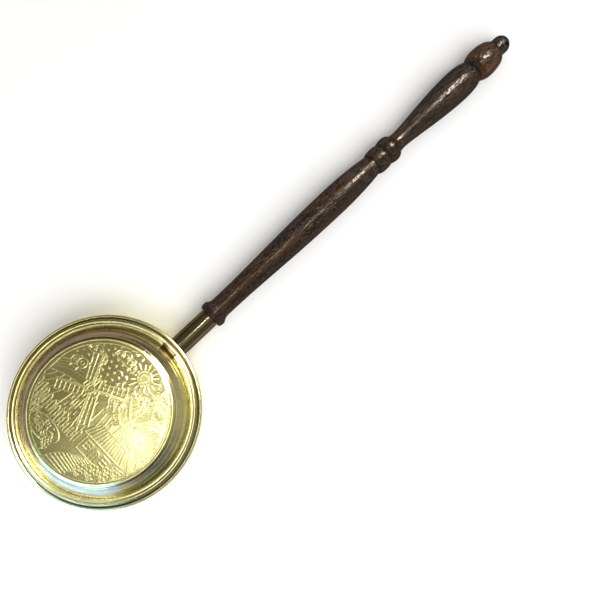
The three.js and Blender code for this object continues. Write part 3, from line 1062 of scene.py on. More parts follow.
    def _mill(self, hub: Point) -> None:
        """Presses a windmill with four lattice sails on a brick tower."""
        x, y = hub
        low, top = y - 33.0, y - 1.0
        tower = [(x - 10.4, low), (x + 10.4, low), (x + 6.4, top), (x - 6.4, top)]
        self.sheet.shape(tower, 0.1, 1.2, 1.0)
        rows = 9
        for row in range(1, rows):
            level = low + (top - low) * row / rows
            half = 10.4 - 4.0 * row / rows
            self.sheet.line([(x - half, level), (x + half, level)], 0.75, 0.8)
        for row in range(rows):
            level = low + (top - low) * row / rows
            half = 10.4 - 4.0 * (row + 0.5) / rows
            for brick in (-0.62, -0.02, 0.58) if row % 2 else (-0.32, 0.28):
                joint = x + brick * half
                self.sheet.line([(joint, level), (joint, level + 3.5)], 0.7, 0.75)
        door = [(x - 3.2, low), (x + 3.2, low), (x + 3.2, low + 6.0)]
        door += arc((x, low + 6.0), (3.2, 3.2), 0, math.pi, 8)[1:]
        self.sheet.shape(door, 0.0, 1.0)
        self.sheet.line([(x, low), (x, low + 9.0)], 0.75, 0.85)
        self.sheet.shape(oblong((x - 2.3, low + 15.4), (x + 2.3, low + 20.4)), 0.0, 1.0)
        self.sheet.line([(x, low + 15.4), (x, low + 20.4)], 0.7, 0.9)
        side = bezier(((x + 7.4, top - 0.4), (x + 6.0, y + 8.6), (x, y + 10.4)), 8)
        cap = [(x - 7.4, top - 0.4), *side, *((2 * x - u, v) for u, v in reversed(side[1:-1]))]
        self.sheet.shape(cap, 0.15, 1.1, 1.0)
        for shift in (-3.6, 0.05, 3.6):
            seam = ((x + shift * 1.3, top), (x + shift, y + 5.4), (x + shift * 0.3, y + 9.2))
            self.sheet.line(bezier(seam, 5), 0.8, 0.85)
        for index in range(4):
            self._sail(hub, math.radians(27.0 + 90.0 * index))
        self.sheet.shape(loop(hub, (2.8, 2.8), 16), 0.5, 1.0)
        self.sheet.dot(hub, 1.4, 1.0)

    def _sail(self, hub: Point, angle: float) -> None:
        """Presses one sail: a stock with a lattice on one side of it."""
        along = (math.cos(angle), math.sin(angle))
        across = (-along[1], along[0])

        def spot(out: float, side: float) -> Point:
            """Gives a place on the sail."""
            return (
                hub[0] + along[0] * out + across[0] * side,
                hub[1] + along[1] * out + across[1] * side,
            )

        cloth = [spot(5.4, 0.8), spot(27.0, 0.8), spot(27.0, 8.2), spot(5.4, 6.4)]
        self.sheet.shape(cloth, 0.0, 1.1, 1.0)
        for step in range(1, 6):
            out = 5.4 + 3.6 * step
            self.sheet.line([spot(out, 0.8), spot(out, 6.4 + 0.3 * step)], 0.85, 0.95)
        self.sheet.line([spot(5.4, 3.6), spot(27.0, 4.4)], 0.85, 0.95)
        stock = [spot(1.5, -0.9), spot(28.4, -0.7), spot(28.4, 0.9), spot(1.5, 0.9)]
        self.sheet.shape(stock, 0.7, 0.9, 1.0)

    def _leaf(self, at: Point, angle: float, length: float, fullness: float = 0.42) -> None:
        """Presses one pointed leaf with a middle rib."""
        along = (math.cos(angle), math.sin(angle))
        side = (-along[1] * fullness * length, along[0] * fullness * length)
        end = (at[0] + along[0] * length, at[1] + along[1] * length)
        middle = ((at[0] + end[0]) / 2, (at[1] + end[1]) / 2)
        left = bezier((at, (middle[0] + side[0], middle[1] + side[1]), end), 6)
        right = bezier((end, (middle[0] - side[0], middle[1] - side[1]), at), 6)
        self.sheet.shape(left + right[1:-1], 0.1, 0.85, 1.0)
        rib_end = (at[0] + along[0] * length * 0.8, at[1] + along[1] * length * 0.8)
        self.sheet.line([at, rib_end], 0.65, 0.85)

    def _branch(self, points: Line, leaves: int, size: float) -> None:
        """Presses a branch with leaves along both of its sides."""
        for index in range(leaves):
            place = (index + 0.9) / leaves * (len(points) - 1)
            low = min(int(place), len(points) - 2)
            start, end = points[low], points[low + 1]
            at = between(start, end, place - low)
            heading = math.atan2(end[1] - start[1], end[0] - start[0])
            turn = (0.85 if index % 2 else -0.85) + self._around(0.15)
            self._leaf(at, heading + turn, size * self.chance.uniform(0.9, 1.1))
        last, before = points[-1], points[-2]
        self._leaf(last, math.atan2(last[1] - before[1], last[0] - before[0]), size)
        self.sheet.shape(sheet_outline(points, 1.3), 0.8, 0.8, 1.0)

    def _tree(self, foot: Point) -> None:
        """Presses a tree with a ribbed trunk and leafy branches."""
        x, y = foot
        limbs = (
            ((x - 0.8, y + 12.0), (x - 3.0, y + 19.0), (x - 8.5, y + 20.0), (x - 12.0, y + 26.0)),
            ((x - 0.4, y + 12.0), (x - 0.5, y + 20.0), (x + 2.5, y + 26.0), (x - 1.0, y + 34.0)),
            ((x + 0.2, y + 12.0), (x + 4.0, y + 18.0), (x + 8.0, y + 22.0), (x + 11.0, y + 29.0)),
            ((x + 0.6, y + 10.0), (x + 8.0, y + 11.0), (x + 12.0, y + 15.0), (x + 19.0, y + 17.0)),
            ((x + 0.8, y + 5.0), (x + 7.0, y + 4.0), (x + 13.0, y + 5.0), (x + 21.0, y + 6.0)),
            ((x - 1.4, y + 8.0), (x - 6.0, y + 9.0), (x - 8.0, y + 9.0), (x - 11.0, y + 13.0)),
        )
        for limb in limbs:
            self._branch(bezier(limb, 10), 6, 7.4)
        left = ((x - 5.0, y - 12.0), (x - 2.2, y - 4.0), (x - 2.8, y + 8.0), (x - 2.4, y + 14.0))
        right = ((x + 1.8, y + 14.0), (x + 2.2, y + 6.0), (x + 1.8, y - 4.0), (x + 5.0, y - 12.0))
        self.sheet.shape(bezier(left, 10) + bezier(right, 10), 0.15, 1.1, 1.0)
        for shift in (-1.2, 1.1):
            low, high = (x + shift * 1.8, y - 12.0), (x + shift * 0.8, y + 12.0)
            rib = bezier((low, (x + shift * 0.9, y - 2.0), high), 8)
            self.sheet.line(rib, 0.8, 0.85)

    def _cottage(self, corner: Point) -> None:
        """Presses a thatched cottage with a chimney, windows and an arched door."""
        x, y = corner
        for puff in range(3):
            middle = (x + 12.0 + 2.6 * puff, y + 22.0 + 3.4 * puff)
            self.sheet.shape(loop(middle, (2.2 + 0.5 * puff, 2.0 + 0.4 * puff), 16), 0.1, 0.9)
        self.sheet.shape(oblong((x + 8.4, y + 9.0), (x + 13.4, y + 19.0)), 0.1, 1.0)
        for row in range(2):
            level = y + 12.4 + 3.2 * row
            self.sheet.line([(x + 8.4, level), (x + 13.4, level)], 0.8, 0.85)
        self.sheet.shape(oblong((x - 14.0, y - 11.0), (x + 16.0, y + 3.0)), 0.05, 1.1)
        roof = [(x - 18.0, y + 2.0), (x + 20.0, y + 2.0)]
        roof += [(x + 14.4, y + 14.4), (x - 12.4, y + 14.4)]
        self.sheet.shape(roof, 0.12, 1.2, 1.0)
        for index in range(1, 13):
            share = index / 13
            top = (x - 12.4 + 26.8 * share, y + 14.4)
            foot = (x - 18.0 + 38.0 * share, y + 2.0)
            self.sheet.line([top, foot], 0.8, 0.85)
        for shift in (-8.4, 9.6):
            low, high, near, far = y - 6.8, y - 0.8, x + shift - 3.0, x + shift + 3.0
            self.sheet.shape(oblong((near, low), (far, high)), 0.0, 1.0)
            self.sheet.line([(x + shift, low), (x + shift, high)], 0.8, 0.9)
            self.sheet.line([(near, (low + high) / 2), (far, (low + high) / 2)], 0.8, 0.9)
        door = [(x - 2.4, y - 11.0), (x + 3.4, y - 11.0), (x + 3.4, y - 4.6)]
        door += arc((x + 0.5, y - 4.6), (2.9, 2.9), 0, math.pi, 8)[1:]
        self.sheet.shape(door, 0.0, 1.0)
        self.sheet.line([(x + 0.5, y - 11.0), (x + 0.5, y - 2.0)], 0.8, 0.85)

    def _fence(self) -> None:
        """Presses a picket fence in the middle ground."""
        rail = bezier(((-50.0, -19.0), (-34.0, -24.5), (-14.0, -27.5), (1.0, -26.0)), 30)
        self.sheet.shape(rail + [(u, v - 3.5) for u, v in reversed(rail)], 0.0, 0.0)
        for lift in (0.0, 3.6):
            self.sheet.shape(sheet_outline([(u, v + lift) for u, v in rail], 1.2), 0.5, 0.8, 1.0)
        for u, v in rail[::3]:
            post = [(u - 1.3, v - 2.8), (u + 1.3, v - 2.8)]
            post += [(u + 1.3, v + 5.4), (u, v + 7.2), (u - 1.3, v + 5.4)]
            self.sheet.shape(post, 0.2, 0.9, 1.0)

    def _path(self) -> None:
        """Presses a paved path that widens from the cottage door."""
        left = ((18.6, -30.0), (15.0, -34.0), (4.0, -36.0), (-3.0, -43.0), (-6.0, -53.0))
        right = ((24.4, -30.0), (25.0, -36.0), (21.0, -40.0), (16.0, -46.0), (15.0, -53.0))
        left, right = bezier(left, 12), bezier(right, 12)
        self.sheet.shape(left + right[::-1], 0.05, 1.1, 1.0)
        for index in range(1, 12):
            start, end = left[index], right[index]
            self.sheet.line([start, end], 0.8, 0.85)
            joints = 2 + index // 4
            for joint in range(1, joints + 1):
                share = (joint - (0.5 if index % 2 else 0.2)) / joints
                foot = between(left[index + 1], right[index + 1], share)
                self.sheet.line([between(start, end, share), foot], 0.75, 0.8)

    def _pond(self, middle: Point) -> None:
        """Presses a pond with ripples and two ducks."""
        self.sheet.shape(loop(middle, (15.0, 7.6), 40), 0.0, 1.2, 1.0)
        for shift in (-4.6, -1.6, 1.4, 4.4):
            half = 12.5 * math.sqrt(1 - (shift / 7.6) ** 2)
            wave = [
                (middle[0] - half + half * i / 10, middle[1] + shift + 0.5 * math.sin(i * 1.3))
                for i in range(21)
            ]
            self.sheet.line(wave, 0.75, 0.8)
        self._duck((middle[0] - 5.4, middle[1] + 0.4), 1.0)
        self._duck((middle[0] + 6.2, middle[1] - 1.2), -1.0)

    def _duck(self, at: Point, turn: float) -> None:
        """Presses a duck that swims to the right, or to the left where the turn is -1."""

        def spot(ahead: float, up: float) -> Point:
            """Gives a place on the duck."""
            return (at[0] + turn * ahead, at[1] + up)

        self.sheet.shape(loop(at, (4.2, 2.3), 20), 0.35, 1.0)
        self.sheet.line(bezier((spot(2.8, 0.8), spot(4.6, 3.0), spot(3.2, 5.0)), 6), 1.5, 1.0)
        self.sheet.dot(spot(3.6, 5.3), 2.2, 1.0)
        self.sheet.line([spot(4.2, 5.2), spot(6.4, 4.7)], 0.9, 1.0)
        self.sheet.line(arc(spot(-0.5, 0.2), (2.2, 1.0), math.pi, TURN, 8), 0.75, 1.0)

    def _flower(self, foot: Point, tall: float, size: float) -> None:
        """Presses a flower with a stalk and two leaves."""
        lean = self._around(1.4)
        top = (foot[0] + lean, foot[1] + tall)
        stalk = bezier((foot, (foot[0] - lean * 0.5, foot[1] + tall * 0.5), top), 6)
        self.sheet.line(stalk, 0.95, 1.0)
        self._leaf(stalk[1], 0.75, 0.55 * tall)
        self._leaf(stalk[2], math.pi - 0.75, 0.5 * tall)
        self.sheet.shape(loop(top, (size, size), 20), 0.0, 0.0)
        for petal in range(6):
            angle = TURN * petal / 6 + 0.2
            at = (top[0] + size * 0.68 * math.cos(angle), top[1] + size * 0.68 * math.sin(angle))
            self.sheet.shape(loop(at, (size * 0.4, size * 0.4), 12), 0.15, 0.75, 1.0)
        self.sheet.shape(loop(top, (size * 0.38, size * 0.38), 10), 0.6, 0.8, 1.0)

    def _near_plants(self) -> None:
        """Presses reeds, grass and flowers along the near edge."""
        for foot, tall in (((-40.5, -33.5), 13.0), ((-37.6, -37.0), 12.0), ((-43.4, -29.0), 12.0)):
            tip = (foot[0] + self._around(0.8), foot[1] + tall)
            self.sheet.line([foot, tip], 0.9, 1.0)
            self.sheet.line([(tip[0], tip[1] - 0.6), (tip[0], tip[1] + 3.6)], 2.1, 1.0)
            self._leaf(foot, 1.1, 10.0, 0.16)
        for index in range(26):
            angle = math.radians(208.0 + 5.0 * index)
            reach = self.radius - 6.0
            foot = (reach * math.cos(angle), reach * math.sin(angle))
            if -8.0 < foot[0] < 18.0:
                continue
            for lean in (-1.6, 0.1, 1.8):
                tip = (foot[0] + lean, foot[1] + 4.4 - abs(lean) * 0.4)
                blade = bezier((foot, (foot[0] + lean * 0.2, foot[1] + 2.2), tip), 4)
                self.sheet.line(blade, 0.8, 0.95)
        for foot, tall, size in (
            ((21.5, -46.0), 7.0, 3.8),
            ((29.5, -42.5), 9.5, 4.2),
            ((37.5, -36.5), 9.0, 4.2),
            ((43.5, -29.0), 9.0, 3.8),
            ((-11.0, -50.0), 7.5, 3.4),
        ):
            self._flower(foot, tall, size)

    def _wear(self, middle: Point, reach: float) -> None:
        """Lowers the picture where years of polishing have worn it down."""
        right, up = np.meshgrid(self.sheet.ticks, self.sheet.ticks)
        away = np.hypot(right - middle[0], up - middle[1]) / reach
        self.sheet.height *= (1.0 - 0.62 * eased((1.0 - away) * 1.6)).astype(np.float32)

    def _border(self) -> None:
        """Presses the thin line that frames the picture, and flattens what lies outside it."""
        right, up = np.meshgrid(self.sheet.ticks, self.sheet.ticks)
        out = np.hypot(right, up)
        frame_radius = self.radius - 1.6
        self.sheet.height *= eased((frame_radius - out) / 0.5).astype(np.float32)
        ridge = 0.75 * eased(1.0 - np.abs(out - frame_radius - 0.1) / 0.55)
        self.sheet.height = np.maximum(self.sheet.height, ridge).astype(np.float32)


# --- the lid ------------------------------------------------------------------------------------


@dataclass
class Lid:
    """The domed lid, rolled over a thick wire that is also its hinge pin."""

    pan: Pan
    seat_gap: float = 0.3
    rim_gap: float = 0.65
    wire_radius: float = 1.1
    valley: float = 0.45
    rise: float = 14.0
    wall_run: float = 12.3
    step_width: float = 1.3
    step_height: float = 0.5
    dome: float = 0.6
    notch_width: float = 14.8
    notch_depth: float = 3.1
    relief: float = 0.125
    # Painted dark reflection on the wall, partly tarnish, by angle in degrees round the lid.
    reflection_round: tuple[Point, ...] = (
        (-180.0, 0.3), (-133.0, 0.25), (-119.0, 0.6), (-104.0, 0.95), (-90.0, 0.97),
        (-70.0, 0.75), (-44.0, 0.5), (-14.0, 0.75), (16.0, 0.9), (46.0, 1.0),
        (106.0, 1.0), (150.0, 1.0), (167.0, 0.92), (175.0, 0.55), (180.0, 0.3),
    )
    # Painted highlight low on the wall, by angle in degrees round the lid.
    highlight_round: tuple[Point, ...] = (
        (-180.0, 0.8), (-160.0, 1.0), (-130.0, 1.0), (-116.0, 0.0),
        (150.0, 0.0), (172.0, 0.3), (180.0, 0.8),
    )
    segments: int = 240
    picture_step: float = 0.3

    @property
    def sheet(self) -> float:
        """The thickness of the brass."""
        return self.pan.sheet

    @property
    def curl(self) -> float:
        """The radius of the sheet's middle round the wire."""
        return self.wire_radius + self.pan.wire_play + self.sheet / 2

    @property
    def bead_radius(self) -> float:
        """The distance of the wire from the centre."""
        return self.pan.ledge_outer - self.sheet / 2 - self.rim_gap - self.curl - self.sheet / 2

    @property
    def flange_height(self) -> float:
        """The height of the middle of the flange, just above the pan's ledge."""
        return self.pan.ledge_height + self.sheet + self.seat_gap

    @property
    def bead_height(self) -> float:
        """The height of the wire."""
        return self.flange_height + self.curl

    @property
    def foot(self) -> float:
        """The radius at which the wall meets the flange."""
        return self.bead_radius - self.curl - self.sheet / 2 - self.valley

    @property
    def crown_radius(self) -> float:
        """The radius of the flat crown with its step."""
        return self.foot - self.wall_run

    @property
    def hinge_x(self) -> float:
        """The place of the hinge pin along the handle."""
        return math.sqrt(self.bead_radius**2 - (self.notch_width / 2) ** 2)

    def crown_level(self, radius: np.ndarray) -> np.ndarray:
        """Gives the middle of the crown's sheet, lowered to leave room for the relief."""
        edge = self.crown_radius - self.step_width
        crown = self.flange_height + self.rise
        return crown + self.dome * (1.0 - (radius / edge) ** 2) - self.relief

    def side_line(self) -> Line:
        """Gives the middle of the lid's sheet from the crown's edge to the end of its curl."""
        crown = self.flange_height + self.rise - self.relief
        shoulder = crown - self.step_height + self.relief * 0.5
        edge = self.crown_radius - self.step_width
        wall_top = (self.crown_radius + 0.7, shoulder - 0.7)
        wall_swell = (self.crown_radius + 4.99, shoulder - 4.56)
        wall_foot = (self.foot - 2.2, self.flange_height + 1.75)
        foot = (self.foot, self.flange_height)
        step = (edge + 0.6, shoulder)
        crown_end, crown_turn = (edge - 1.2, crown), (edge - 0.3, crown)
        shoulder_edge = (self.crown_radius - self.step_height, shoulder)
        wire, curl = (self.bead_radius, self.bead_height), (self.curl, self.curl)
        return joined(
            bezier((crown_end, crown_turn, (edge + 0.1, shoulder - 0.25), step), 8),
            straight(step, shoulder_edge, 2),
            bezier((shoulder_edge, (self.crown_radius - 0.08, shoulder), wall_top), 8),
            bezier((wall_top, wall_swell, wall_foot), 14),
            bezier((wall_foot, (self.foot - 0.93, self.flange_height), foot), 10),
            straight(foot, (self.bead_radius, self.flange_height), 5),
            arc(wire, curl, -QUARTER, 1.19 * math.pi, 36),
        )

    def _notch(self) -> tuple[Corners, Faces]:
        """Gives the box that is cut out of the rolled rim for the hinge."""
        half = self.notch_width / 2
        near, far = self.hinge_x - self.notch_depth, self.pan.radius + 4
        low, high = self.flange_height - 14, self.flange_height + 9
        return box((near, -half, low), (far, half, high))

    def _build_shell(self) -> None:
        """Makes the lid's wall, flange and rolled rim."""
        line = self.side_line()
        shell = Piece("lid_shell", Body.LID, Slot.BRASS, ("lid",))
        shell.build(*turned(sheet_outline(line, self.sheet), self.segments))
        shell.cut(*self._notch())
        at = shell.places()
        # Painted shade, mixed with grime, at the crown's step and on the outer half of the rolled
        # rim.
        step = self.crown_radius - self.step_width + 0.3
        edge = near_ring(at, step, self.flange_height + self.rise, 1.0)
        out = np.hypot(at[:, 0], at[:, 1])
        outer = eased((out - self.bead_radius + 0.5) / 1.0)
        shell.mark("soil", np.maximum(0.45 * edge, 0.34 * outer))
        # Painted dark reflection, partly tarnish, on the wall by angle round the lid and on the
        # outer half of the rolled rim.
        wall = eased((out - self.crown_radius + 0.3) / 0.8) * eased((self.foot - 0.2 - out) / 0.8)
        turn = np.degrees(np.arctan2(at[:, 1], at[:, 0]))
        amount = np.interp(turn, *zip(*self.reflection_round))
        shell.mark("tarnish", np.maximum(wall * amount, 0.75 * outer))
        # Painted highlight: a band low on the wall, by angle round the lid, and a ring at the
        # wall's foot.
        highlight_band = eased((out - self.foot + 6.4) / 1.4) * eased((self.foot - out) / 0.8)
        highlight_band *= np.interp(turn, *zip(*self.highlight_round))
        foot = 0.85 * near_ring(at, self.foot + 0.3, self.flange_height + 0.9, 2.1)
        shell.mark("polish", np.maximum(foot, highlight_band))
        marks = TurningMarks(pitch=0.9, depth=0.010)
        scored = (self.crown_radius + 1.9, self.crown_radius + 6.6)
        shell.dress(Brass("lid_brass", marks=marks, scored=scored))

    def _picture_rings(self, spacing: float, radius: float) -> tuple[np.ndarray, Faces]:
        """Gives a flat disc of evenly spaced corners, six more in each ring than in the last."""
        rings = int(round(radius / spacing))
        flat = [(0.0, 0.0)]
        for ring in range(1, rings + 1):
            out = radius * ring / rings
            angles = (TURN * i / (6 * ring) for i in range(6 * ring))
            flat += [(out * math.cos(a), out * math.sin(a)) for a in angles]
        faces: Faces = [(0, 1 + i, 1 + (i + 1) % 6) for i in range(6)]
        for ring in range(2, rings + 1):
            inner, outer = 1 + 3 * (ring - 1) * (ring - 2), 1 + 3 * ring * (ring - 1)
            low, high = 6 * (ring - 1), 6 * ring
            for sector in range(6):
                for step in range(ring):
                    a = outer + (sector * ring + step) % high
                    b = outer + (sector * ring + step + 1) % high
                    c = inner + (sector * (ring - 1) + step) % low
                    faces.append((a, b, c))
                    if step < ring - 1:
                        d = inner + (sector * (ring - 1) + step + 1) % low
                        faces.append((c, b, d))
        return np.array(flat), faces

    def _build_picture(self) -> None:
        """Makes the crown with its picture, raised on top and hollow below."""
        radius = self.crown_radius - self.step_width - 0.35
        pressed = CountryPicture(radius).press()
        flat, faces = self._picture_rings(self.picture_step, radius)
        lift = pressed.sampled(-flat[:, 1], flat[:, 0])
        level = self.crown_level(np.hypot(flat[:, 0], flat[:, 1]))
        top = np.column_stack((flat, level + self.sheet / 2 + lift * self.relief))
        below = np.column_stack((flat, level - self.sheet / 2 + lift * self.relief * 0.8))
        count = len(flat)
        rim = count - 6 * int(round(radius / self.picture_step))
        around = list(range(rim, count))
        faces_all = list(faces)
        faces_all += [tuple(count + i for i in reversed(face)) for face in faces]
        faces_all += [(a + count, b + count, b, a) for a, b in zip(around, around[1:] + around[:1])]
        crown = Piece("lid_picture", Body.LID, Slot.BRASS, ())
        crown.build(np.vstack((top, below)).tolist(), faces_all)
        crown.mark("lift", np.concatenate((lift, lift * 0.5)))
        # The crown's underside is marked darker.
        crown.mark("soil", np.concatenate((np.zeros(count), np.full(count, 0.25))))
        crown.dress(PressedBrass("pressed_brass"), 180.0)

    def _build_wire(self) -> None:
        """Makes the wire inside the rolled rim, straight across the notch."""
        half = self.notch_width / 2
        turn = math.asin(half / self.bead_radius)
        angles = np.linspace(turn, TURN - turn, 200)
        path = [(self.bead_radius * math.cos(a), self.bead_radius * math.sin(a)) for a in angles]
        path += [(self.hinge_x, -half + 2 * half * i / 8) for i in range(1, 8)]
        corners: Corners = []
        around = 16
        for index, (x, y) in enumerate(path):
            before, after = path[index - 1], path[(index + 1) % len(path)]
            run = math.dist(before, after)
            out = ((after[1] - before[1]) / run, -(after[0] - before[0]) / run)
            for step in range(around):
                angle = TURN * step / around
                side, up = self.wire_radius * math.cos(angle), self.wire_radius * math.sin(angle)
                corners.append((x + out[0] * side, y + out[1] * side, self.bead_height + up))
        wire = Piece("lid_rim_wire_bright", Body.LID, Slot.STEEL, ("lid_rim_wire",))
        wire.build(corners, tube_faces(len(path), around))
        wire.dress(Steel("lid_wire_steel"), 60.0)

    def build(self) -> None:
        """Makes the whole lid."""
        self._build_shell()
        self._build_picture()
        self._build_wire()


@dataclass
class HingeStrap:
    """The brass strap that is rolled round the pin and screwed to the pan's wall."""

    lid: Lid
    width: float = 13.4
    tail: float = 5.8
    screw_height: float = 18.0
    hole_radius: float = 2.3
    hole_reach: float = 3.0
    edge_round: float = 0.12
    soil: float = 0.35

    @property
    def leg_x(self) -> float:
        """The place of the middle of the leg along the handle."""
        return self.lid.hinge_x - self.lid.curl

    @property
    def washer_face(self) -> float:
        """The place of the washer's face that looks at the leg."""
        return self.leg_x - self.lid.sheet / 2 - CLEARANCE

    def build(self) -> None:
        """Makes the strap."""
        curl = (self.lid.curl, self.lid.curl)
        barrel = arc((self.lid.hinge_x, self.lid.bead_height), curl, math.pi, -0.61 * math.pi, 40)
        leg = straight((self.leg_x, self.screw_height - self.tail), barrel[0], 8)
        outline = sheet_outline(joined(leg, barrel), self.lid.sheet)
        half = self.width / 2
        count = len(outline)
        corners = [(x, side, z) for side in (-half, half) for x, z in outline]
        faces: Faces = [
            (i, (i + 1) % count, (i + 1) % count + count, i + count) for i in range(count)
        ]
        faces += [tuple(range(count))[::-1], tuple(range(count, 2 * count))]
        strap = Piece("hinge_strap_rolled", Body.PAN, Slot.BRASS, ("hinge_strap",))
        strap.build(corners, [face[::-1] for face in faces])
        near, far = self.leg_x - self.hole_reach, self.leg_x + self.hole_reach
        drill = rod(near, far, self.hole_radius)
        strap.cut(*turned(drill, 32, Axis.HANDLE), Matrix.Translation((0, 0, self.screw_height)))
        strap.soften(self.edge_round)
        strap.mark("soil", np.full(len(strap.places()), self.soil))
        clean, dull = (0.34, 0.26, 0.13), (0.22, 0.16, 0.08)
        strap.dress(Brass("strap_brass", clean=clean, dull=dull, roughness=0.26))


# --- the handle ---------------------------------------------------------------------------------


@dataclass
class Fixings:
    """The steel screw and washer that hold the strap, the pan and the handle together."""

    lean: Lean
    washer_face: float
    screw_radius: float = 2.0
    screw_length: float = 30.0
    head_radius: float = 4.2
    head_height: float = 2.0
    slot_width: float = 1.1
    slot_depth: float = 0.9
    slot_reach: float = 9.0
    point: float = 4.0
    washer_radius: float = 5.4
    washer_thickness: float = 0.8
    thread_start: float = 12.0
    thread_pitch: float = 1.0

    def _build_washer(self) -> None:
        """Makes the washer."""
        inner, outer, round_off = self.screw_radius + CLEARANCE, self.washer_radius, 0.15
        near, far = self.washer_face - self.washer_thickness, self.washer_face
        ring = [
            (near, inner), (near, outer - round_off), (near + round_off, outer),
            (far - round_off, outer), (far, outer - round_off), (far, inner),
        ]
        washer = Piece("screw_washer_bright", Body.PAN, Slot.STEEL, ("screw_washer",))
        washer.build(*turned(ring, 64, Axis.HANDLE), self.lean.matrix())
        washer.dress(Steel("washer_steel"))

    def _build_screw(self) -> None:
        """Makes the round-headed screw with its slot and thread."""
        face = self.washer_face - self.washer_thickness - CLEARANCE
        tip = face + self.screw_length
        head = arc((face, 0.0), (self.head_height, self.head_radius), math.pi, QUARTER, 14)
        thread: Line = []
        along = face + self.thread_start
        while along < tip - self.point:
            crest = (along, self.screw_radius - 0.02)
            thread += [crest, (along + self.thread_pitch / 2, self.screw_radius - 0.35)]
            along += self.thread_pitch
        outline = joined(
            [(head[0][0], 0.0)], head[1:], [(face, self.screw_radius - 0.02)],
            thread, [(tip - self.point, self.screw_radius - 0.3), (tip, 0.0)],
        )
        screw = Piece("handle_screw_bright", Body.PAN, Slot.STEEL, ("handle_screw",))
        screw.build(*turned(outline, 64, Axis.HANDLE), self.lean.matrix())
        half = self.slot_width / 2
        near, far = face - 2 * self.head_height, face - self.head_height + self.slot_depth
        low, high = (near, -self.slot_reach, -half), (far, self.slot_reach, half)
        screw.cut(*box(low, high), self.lean.matrix())
        screw.dress(Steel("screw_steel"))

    def build(self) -> None:
        """Makes both."""
        self._build_washer()
        self._build_screw()


@dataclass
class Ferrule:
    """The plain brass tube between the pan and the handle, cut to the curve of the pan's wall."""

    pan: Pan
    lean: Lean
    end: float
    radius: float = 8.6
    wall: float = 0.8
    segments: int = 128
    steps: int = 60

    def _start(self, side: float, up: float) -> float:
        """Finds where a line of the tube meets the gap round the pan.

        Args:
            side: How far the line lies to the side of the tube's axis.
            up: How far it lies above that axis.

        Returns:
            The place along the handle where the line begins.
        """
        outside = offset_line(self.pan.bowl_line(), -self.pan.sheet / 2 - CLEARANCE)
        heights = [h for _, h in outside]
        radii = [r for r, _ in outside]
        down, onward = math.sin(self.lean.angle), math.cos(self.lean.angle)
        along = self.pan.wall
        for _ in range(6):
            height = self.lean.origin - along * down + up * onward
            reach = float(np.interp(height, heights, radii))
            out = math.sqrt(reach**2 - side**2)
            along = (out - up * down) / onward
        return along

    def build(self) -> None:
        """Makes the tube."""
        corners: Corners = []
        inner, outer = self.radius - self.wall, self.radius - 0.01
        shares = [0.0, 0.005, *np.linspace(0.02, 0.98, self.steps), 0.996, 1.0]
        ring = [(outer, s) for s in shares] + [(inner, s) for s in reversed(shares)]
        rounded = {0: 0.15, len(shares) - 1: 0.2}
        for step in range(self.segments):
            angle = TURN * step / self.segments
            start = self._start(outer * math.cos(angle), outer * math.sin(angle))
            for index, (radius, share) in enumerate(ring):
                out = radius - rounded.get(index, 0.0)
                along = start + (self.end - start) * share
                corners.append((along, out * math.cos(angle), out * math.sin(angle)))
        tube = Piece("ferrule_tube", Body.PAN, Slot.BRASS, ("ferrule",))
        tube.build(corners, tube_faces(self.segments, len(ring)), self.lean.matrix())
        at = tube.places()
        # Painted shade, mixed with grime, at both ends, where the tube meets the pan and the wood.
        soil = eased(1.0 - (at[:, 0] - self.pan.wall) / 3.5) * 0.7
        soil = np.maximum(soil, eased(1.0 - (self.end - at[:, 0]) / 2.0) * 0.6)
        tube.mark("soil", soil)
        # Painted dark reflection: the tube's brass colours are darkened to stand for the dark
        # surroundings it reflects.
        finish = Brass(
            "ferrule_brass",
            clean=(0.13, 0.108, 0.058),
            dull=(0.085, 0.066, 0.036),
            edge=(0.25, 0.22, 0.15),
            roughness=0.08,
        )
        tube.dress(finish)


